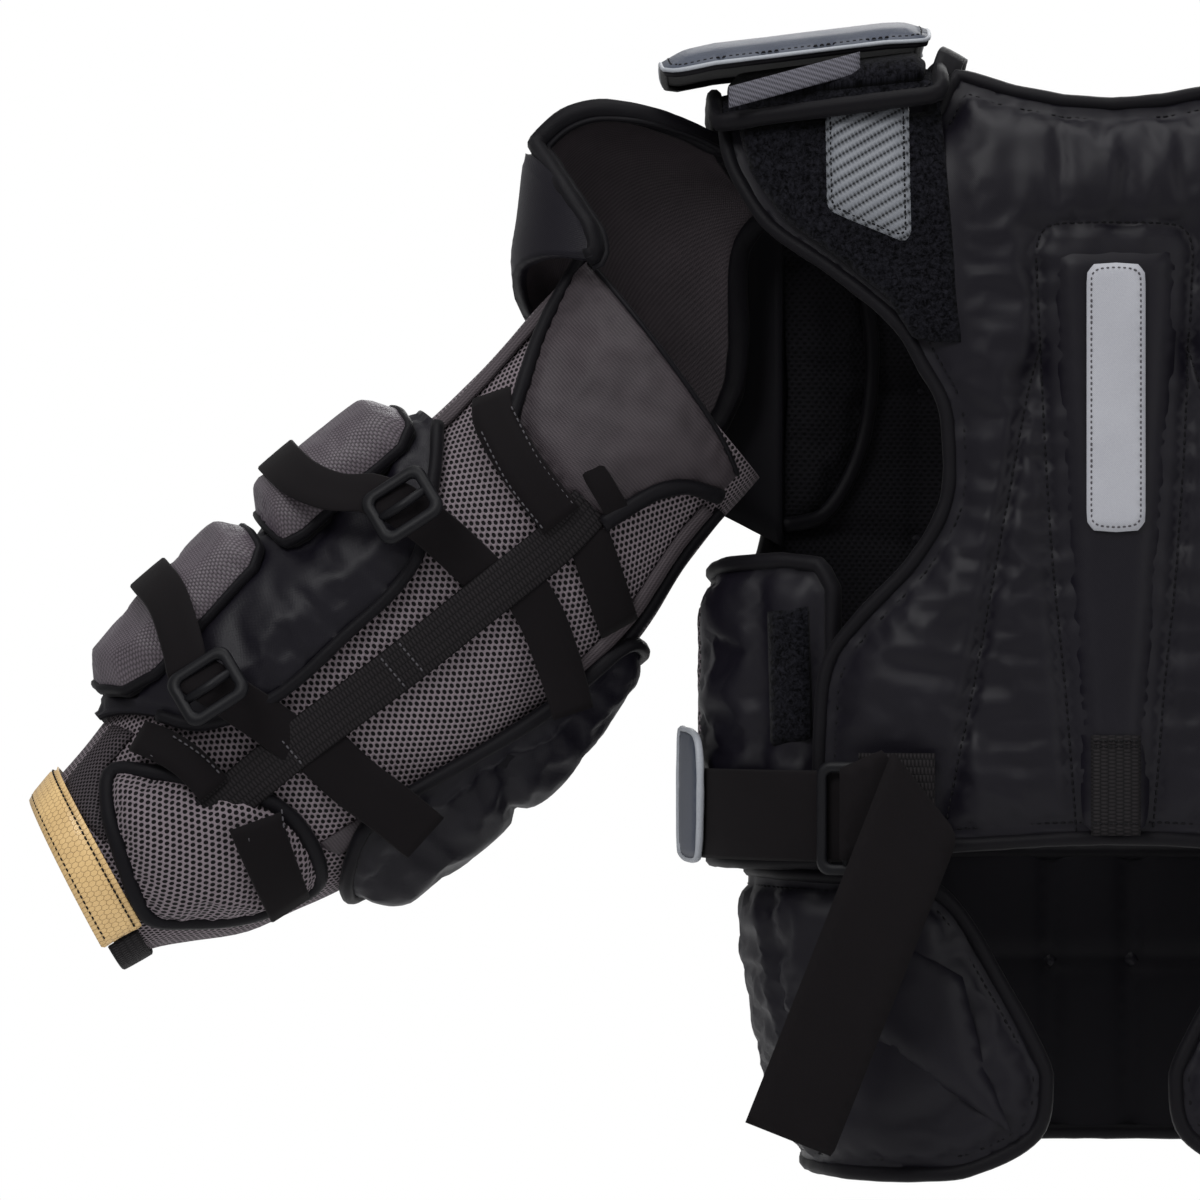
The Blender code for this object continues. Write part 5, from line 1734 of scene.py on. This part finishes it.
def arm_straps():
    long = [(0.058, -0.027, 0.004), (0.09, -0.03, 0.0046), (0.14, -0.0285, 0.0052),
            (0.1973, -0.0268, 0.0046), (0.2749, -0.0222, 0.0052), (0.33, -0.022, 0.007)]
    pair(strap_on_arm("left_arm_webbing", long, ONE_INCH, WEBBED), "", "webbing",
         nodes=["left_arm_webbing"], bend=ELBOW)
    pair(stitched_across("left_arm_webbing_stitching",
                         [(0.188, -0.0268, 0.006), (0.272, -0.0225, 0.0064),
                          (0.201, -0.0268, 0.006)], GREY_THREAD, reach=0.0105), "",
         "webbing", bend=ELBOW)

    pad_end = tuple(arm_point(0.14, 0, 0.035))
    arm_end = tuple(arm_point(0.128, 0, -0.018))
    upper = [(0.176, 0.056, 0.037), (0.169, 0.07, 0.04), (0.156, 0.062, 0.04),
             (0.145, 0.054, 0.039), (0.1386, 0.0432, 0.0385), (0.134, 0.026, 0.03),
             (0.131, 0.008, 0.012), (0.129, -0.01, 0.005), (0.127, -0.034, 0.003)]
    over = [(0.174, -0.017, 0.011), (0.174, -0.013, 0.03), (0.1739, -0.004, 0.0375),
            (0.1735, 0.02, 0.0388), (0.171, 0.045, 0.0388), (0.162, 0.062, 0.0388),
            (0.148, 0.072, 0.0388)]
    top_run = [on_sleeve(a, s, h) for a, s, h in flowing_line(over, 0.005)]
    rest = [on_sleeve(a, arc_at(a, o, h), h) for a, o, h in flowing_line(upper[4:], 0.005)]
    line = [Vector(p) for p in even_line([tuple(p) for p in top_run + rest], 0.0045)]
    pair(band_facing("left_cross_strap_upper", line, CROSS_STRAP, ELASTIC), "", "elastic",
         nodes=["left_cross_strap_upper"], bend=("upper_arm", "elbow_pad", arm_end, pad_end))
    over = [(0.272, -0.017, 0.011), (0.272, -0.013, 0.029), (0.2715, -0.004, 0.0355),
            (0.27, 0.02, 0.0364), (0.27, 0.045, 0.0364), (0.278, 0.066, 0.0364),
            (0.286, 0.078, 0.0364)]
    lower = [(0.28, 0.031, 0.035), (0.276, 0.014, 0.018), (0.271, -0.004, 0.008),
             (0.264, -0.034, 0.003)]
    top_run = [on_sleeve(a, s, h) for a, s, h in flowing_line(over, 0.005)]
    rest = [on_sleeve(a, arc_at(a, o, h), h) for a, o, h in flowing_line(lower, 0.005)]
    whole = [Vector(p) for p in even_line([tuple(p) for p in top_run + rest], 0.0045)]
    split = int(len(whole) * 0.62)
    pair(band_facing("left_cross_strap_lower", whole[:split + 1], CROSS_STRAP, ELASTIC),
         "elbow_pad", "elastic", nodes=["left_cross_strap_lower"])
    near, away = whole[split], whole[-1]
    start = near + (near - away)
    pair(band_facing("left_cross_strap_lower_run", whole[split:], CROSS_STRAP, ELASTIC), "",
         "elastic", bend=("upper_arm", "forearm", tuple(start), tuple(away)))

    for name, body, width, places in (
            ("left_upper_strap_tail", "upper_arm", 0.026,
             [(0.115, -0.03, 0.003), (0.119, -0.056, 0.005), (0.129, -0.084, 0.013),
              (0.14, -0.1085, 0.027)]),
            ("left_lower_strap_tail", "forearm", 0.031,
             [(0.26, -0.025, 0.003), (0.257, -0.056, 0.006), (0.251, -0.083, 0.018),
              (0.2466, -0.108, 0.03)]),
            ("left_inner_strap", "upper_arm", 0.024,
             [(0.07, -0.038, 0.003), (0.077, -0.056, 0.004), (0.09, -0.089, 0.006)]),
            ("left_top_fold", "upper_arm", 0.014,
             [(0.05, -0.043, 0.005), (0.047, -0.026, 0.008), (0.044, -0.008, 0.006)])):
        pair(strap_on_arm(name, places, width, ELASTIC), body, "elastic")
    for name, body, width, places in (
            ("left_top_tab", "upper_arm", 0.025,
             [(0.06, 0.056, 0.006), (0.068, 0.044, 0.0075), (0.074, 0.014, 0.0085),
              (0.076, -0.023, 0.008)]),
            ("left_end_tab", "forearm", 0.02,
             [(0.332, 0.038, 0.008), (0.325, 0.026, 0.01), (0.319, 0.008, 0.011),
              (0.318, -0.012, 0.0105)])):
        pair(strap_on_arm(name, places, width, ELASTIC, thick=TAB), body, "elastic")
    wrist = [(0.312, -0.04, 0.0165), (0.318, -0.056, 0.0175), (0.33, -0.09, 0.012)]
    pair(strap_on_arm("left_wrist_strap", wrist, 0.03, ELASTIC, taper=(1.0, 0.86)),
         "forearm", "elastic")
    for name, body, reach, height, places in (
            ("left_top_tab", "upper_arm", 0.0108, 0.0094,
             [(0.067, 0.044), (0.0745, 0.012), (0.076, -0.02)]),
            ("left_end_tab", "forearm", 0.0082, 0.012,
             [(0.325, 0.026), (0.319, 0.006), (0.318, -0.01)]),
            ("left_wrist_strap", "forearm", 0.012, 0.019,
             [(0.308, -0.044), (0.316, -0.056)])):
        pair(stitched_along(name + "_stitching", places, reach, height), body, "elastic")

    for name, body, along, outward, height in (
            ("left_arm_slide_upper", "arm_slide_upper", 0.137, 0.04, 0.0415),
            ("left_arm_slide_lower", "arm_slide_lower", 0.283, 0.033, 0.0375)):
        arc = arc_at(along, outward, height)
        centre = on_sleeve(along, arc, height)
        out = (on_sleeve(along, arc, height + 0.004) - centre).normalized()
        run = DOWN_ARM.cross(out).normalized()
        turn = Matrix((run, DOWN_ARM, run.cross(DOWN_ARM))).transposed().to_4x4()
        tilt = Matrix.Rotation(math.radians(-8), 4, "Z")
        place = Matrix.Translation(centre) @ turn @ tilt
        pair(slide_frame(name, 0.035, 0.04, 0.0064, 0.0048, place, PLASTIC), body,
             "moulded_plastic", nodes=[name])


def band_facing(name, line, width, finish):
    """A strap through points, lying flat to the arm below it."""
    sides = []
    for k, spot in enumerate(line):
        run = line[min(k + 1, len(line) - 1)] - line[max(k - 1, 0)]
        along = (spot - ARM_START).dot(DOWN_ARM)
        out = spot - arm_point(along, 0, look_up(SLEEVE_SECTIONS, along)[0])
        sides.append(run.cross(out).normalized())
    return band(name, line, sides, width, WEBBING, finish)


def stitched_along(name, places, reach, height):
    """A stitched box: rows down both long edges of a tab."""
    line = flowing_line(places, 0.004)
    rows = []
    for shift in (-reach, reach):
        row = []
        for a, o in line:
            spot = on_sleeve(a + shift, arc_at(a + shift, o, height), height)
            out = on_sleeve(a + shift, arc_at(a + shift, o, height), height + 0.004) - spot
            row.append((spot, out))
        rows.append(row)
    return stitches(name, rows, GREY_THREAD, pitch=0.004, length=0.0026, thick=0.0005)


WRIST_HALF = 0.05
CUFF_ALONG = 0.4035             # the band's middle, along the arm
CUFF_SLANT = 0.24


def cuff_pieces():
    """Gold wrist band, ribbed wrist elastic and the padded mesh bulge beside them."""
    def on_cuff(arc, across, height):
        """Across runs along the arm from the middle of the slanting band."""
        outward = WRIST_HALF * math.cos(arc / ARM_ROUND)
        along = CUFF_ALONG - CUFF_SLANT * outward + across
        return on_sleeve(along, arc, height)

    outline = even_line([(-0.128, -0.0115), (0.176, -0.0125), (0.178, -0.011),
                         (0.18, 0.0125), (-0.128, 0.0115)], 0.004, True)
    height = swell(outline, (), full=0.0052, edge=0.004, rise=0.004, pucker=0.0002,
                   crease=0.0004, hem=0.002, seed=61.0)
    gold = pad("left_cuff_band", outline, on_cuff, height, GOLD, step=0.004, underside=0.0022)
    pair(gold, "forearm", "gold_leather", nodes=["left_cuff_band"])
    rows = []
    for across in (-0.0086, 0.0088):
        line = np.array([(arc, across) for arc in np.linspace(-0.124, 0.176, 95)])
        rows.append(row_on(line, on_cuff, height))
    pair(stitches("left_cuff_stitching", rows, THREAD, pitch=0.0034, length=0.0026),
         "forearm", "gold_leather")
    centres, sides = [], []
    for arc in np.linspace(0.184, 0.352, 40):
        centres.append(on_cuff(arc, 0.000, 0.0018))
        sides.append(on_cuff(arc, 0.006, 0.0018) - on_cuff(arc, 0.0, 0.0018))
    pair(band("left_wrist_elastic", centres, sides, 0.019, WEBBING, WEBBED), "forearm",
         "elastic", nodes=["left_wrist_elastic"])

    bulge = laid([(0.34, 0.02), (0.356, 0.034), (0.37, 0.02), (0.38, -0.0022),
                  (0.39, -0.0283), (0.392, -0.046), (0.376, -0.062), (0.352, -0.079),
                  (0.33, -0.088), (0.308, -0.09), (0.296, -0.062), (0.302, -0.03),
                  (0.32, -0.005)], 0.004)
    outline = flowing_line(bulge, 0.0045, True)
    height = swell(outline, (), full=0.01, edge=0.003, rise=0.018, pucker=0.0008,
                   crease=0.001, hem=0.003, seed=62.0)
    pair(pad("left_forearm_bulge", outline, on_sleeve, height, MESH, step=0.0045,
             underside=0.0002, slack=0.04, sewn_edge=0.006), "forearm", "spacer_mesh", fill=0.6)
    bind_edge("left_forearm_bulge_binding", outline, on_sleeve, 0.0022, 0.0046, 0.0036,
              "forearm")
    strip = laid([(0.333, 0.042), (0.356, 0.038), (0.372, 0.022), (0.384, 0.004),
                  (0.388, 0.036), (0.38, 0.047), (0.34, 0.0545)], 0.002)
    outline = even_line(strip, 0.004, True)
    height = swell(outline, (), full=0.0026, edge=0.0014, rise=0.006, pucker=0.0003,
                   crease=0.0004, hem=0.001, seed=63.0)
    pair(pad("left_forearm_fine_mesh", outline, on_sleeve, height, FINE_MESH, step=0.005,
             underside=-0.0006), "forearm", "spacer_mesh")
    patch = laid([(0.295, -0.074), (0.29, -0.086), (0.266, -0.09), (0.264, -0.078)],
                 0.003)
    outline = even_line(patch, 0.004, True)
    height = swell(outline, (), full=0.0034, edge=0.002, rise=0.004, pucker=0.0002,
                   crease=0.0004, hem=0.001, seed=64.0)
    pair(pad("left_forearm_patch", outline, on_sleeve, height, LINING, step=0.005,
             underside=-0.0004), "forearm", "grey_lining")


# ---- stage, camera and light --------------------------------------------------------------
def studio():
    scene = bpy.context.scene
    bpy.ops.mesh.primitive_grid_add(x_subdivisions=2, y_subdivisions=2, size=2.4,
                                    location=(0.0, 0.0, -0.76))
    floor = bpy.context.object
    floor.name = "floor"
    pale = bpy.data.materials.new("pale_floor")
    pale.use_nodes = True
    pale.node_tree.nodes["Principled BSDF"].inputs["Base Color"].default_value = (.9, .9, .9, 1)
    pale.node_tree.nodes["Principled BSDF"].inputs["Roughness"].default_value = 0.8
    floor.data.materials.append(pale)

    world = bpy.data.worlds.new("studio")
    scene.world = world
    world.use_nodes = True
    tree = world.node_tree
    tree.nodes.clear()
    seen = add(tree, "ShaderNodeBackground", {"Color": (1, 1, 1, 1), "Strength": 1.0})
    light = add(tree, "ShaderNodeBackground", {"Color": (1, 1, 1, 1), "Strength": 0.48})
    path = add(tree, "ShaderNodeLightPath")
    either = add(tree, "ShaderNodeMixShader", {0: path.outputs["Is Camera Ray"],
                                               1: light.outputs[0], 2: seen.outputs[0]})
    add(tree, "ShaderNodeOutputWorld", {"Surface": either.outputs[0]})

    for name, spot, aim, size, power in (
            ("key", (-1.3, -2.0, 1.5), (-0.3, 0.0, -0.2), 1.2, 44),
            ("fill", (1.6, -2.2, 0.3), (-0.2, 0.0, -0.25), 1.6, 14),
            ("top", (-0.2, -0.3, 2.0), (-0.25, 0.0, 0.0), 1.5, 26),
            ("front", (0.4, 2.4, 0.9), (0.0, 0.0, -0.2), 1.8, 18)):
        lamp = bpy.data.lights.new(name, "AREA")
        lamp.shape = "DISK"
        lamp.size = size
        lamp.energy = power
        holder = bpy.data.objects.new(name, lamp)
        scene.collection.objects.link(holder)
        holder.location = spot
        holder.rotation_euler = (Vector(aim) - Vector(spot)).to_track_quat("-Z", "Y").to_euler()

    camera = bpy.data.cameras.new("camera")
    camera.sensor_width = 36.0
    camera.lens = 36.0 * 5.0 / 0.66
    camera.clip_end = 100.0
    holder = bpy.data.objects.new("camera", camera)
    scene.collection.objects.link(holder)
    holder.location = (-0.2805, -5.08, -0.2684)
    holder.rotation_euler = (math.pi / 2, 0.0, 0.0)
    scene.camera = holder
    scene.view_settings.view_transform = "Standard"


studio()
back_piece()
spine_pieces()
shoulder_landing()
yoke_pieces()
shoulder_cap_piece()
chest_pieces()
belly_seam()
side_wings()
waist_strap()
sleeve_pieces()
shoulder_guard()
arm_joining()
elbow_pads()
elbow_wing()
arm_straps()
cuff_pieces()
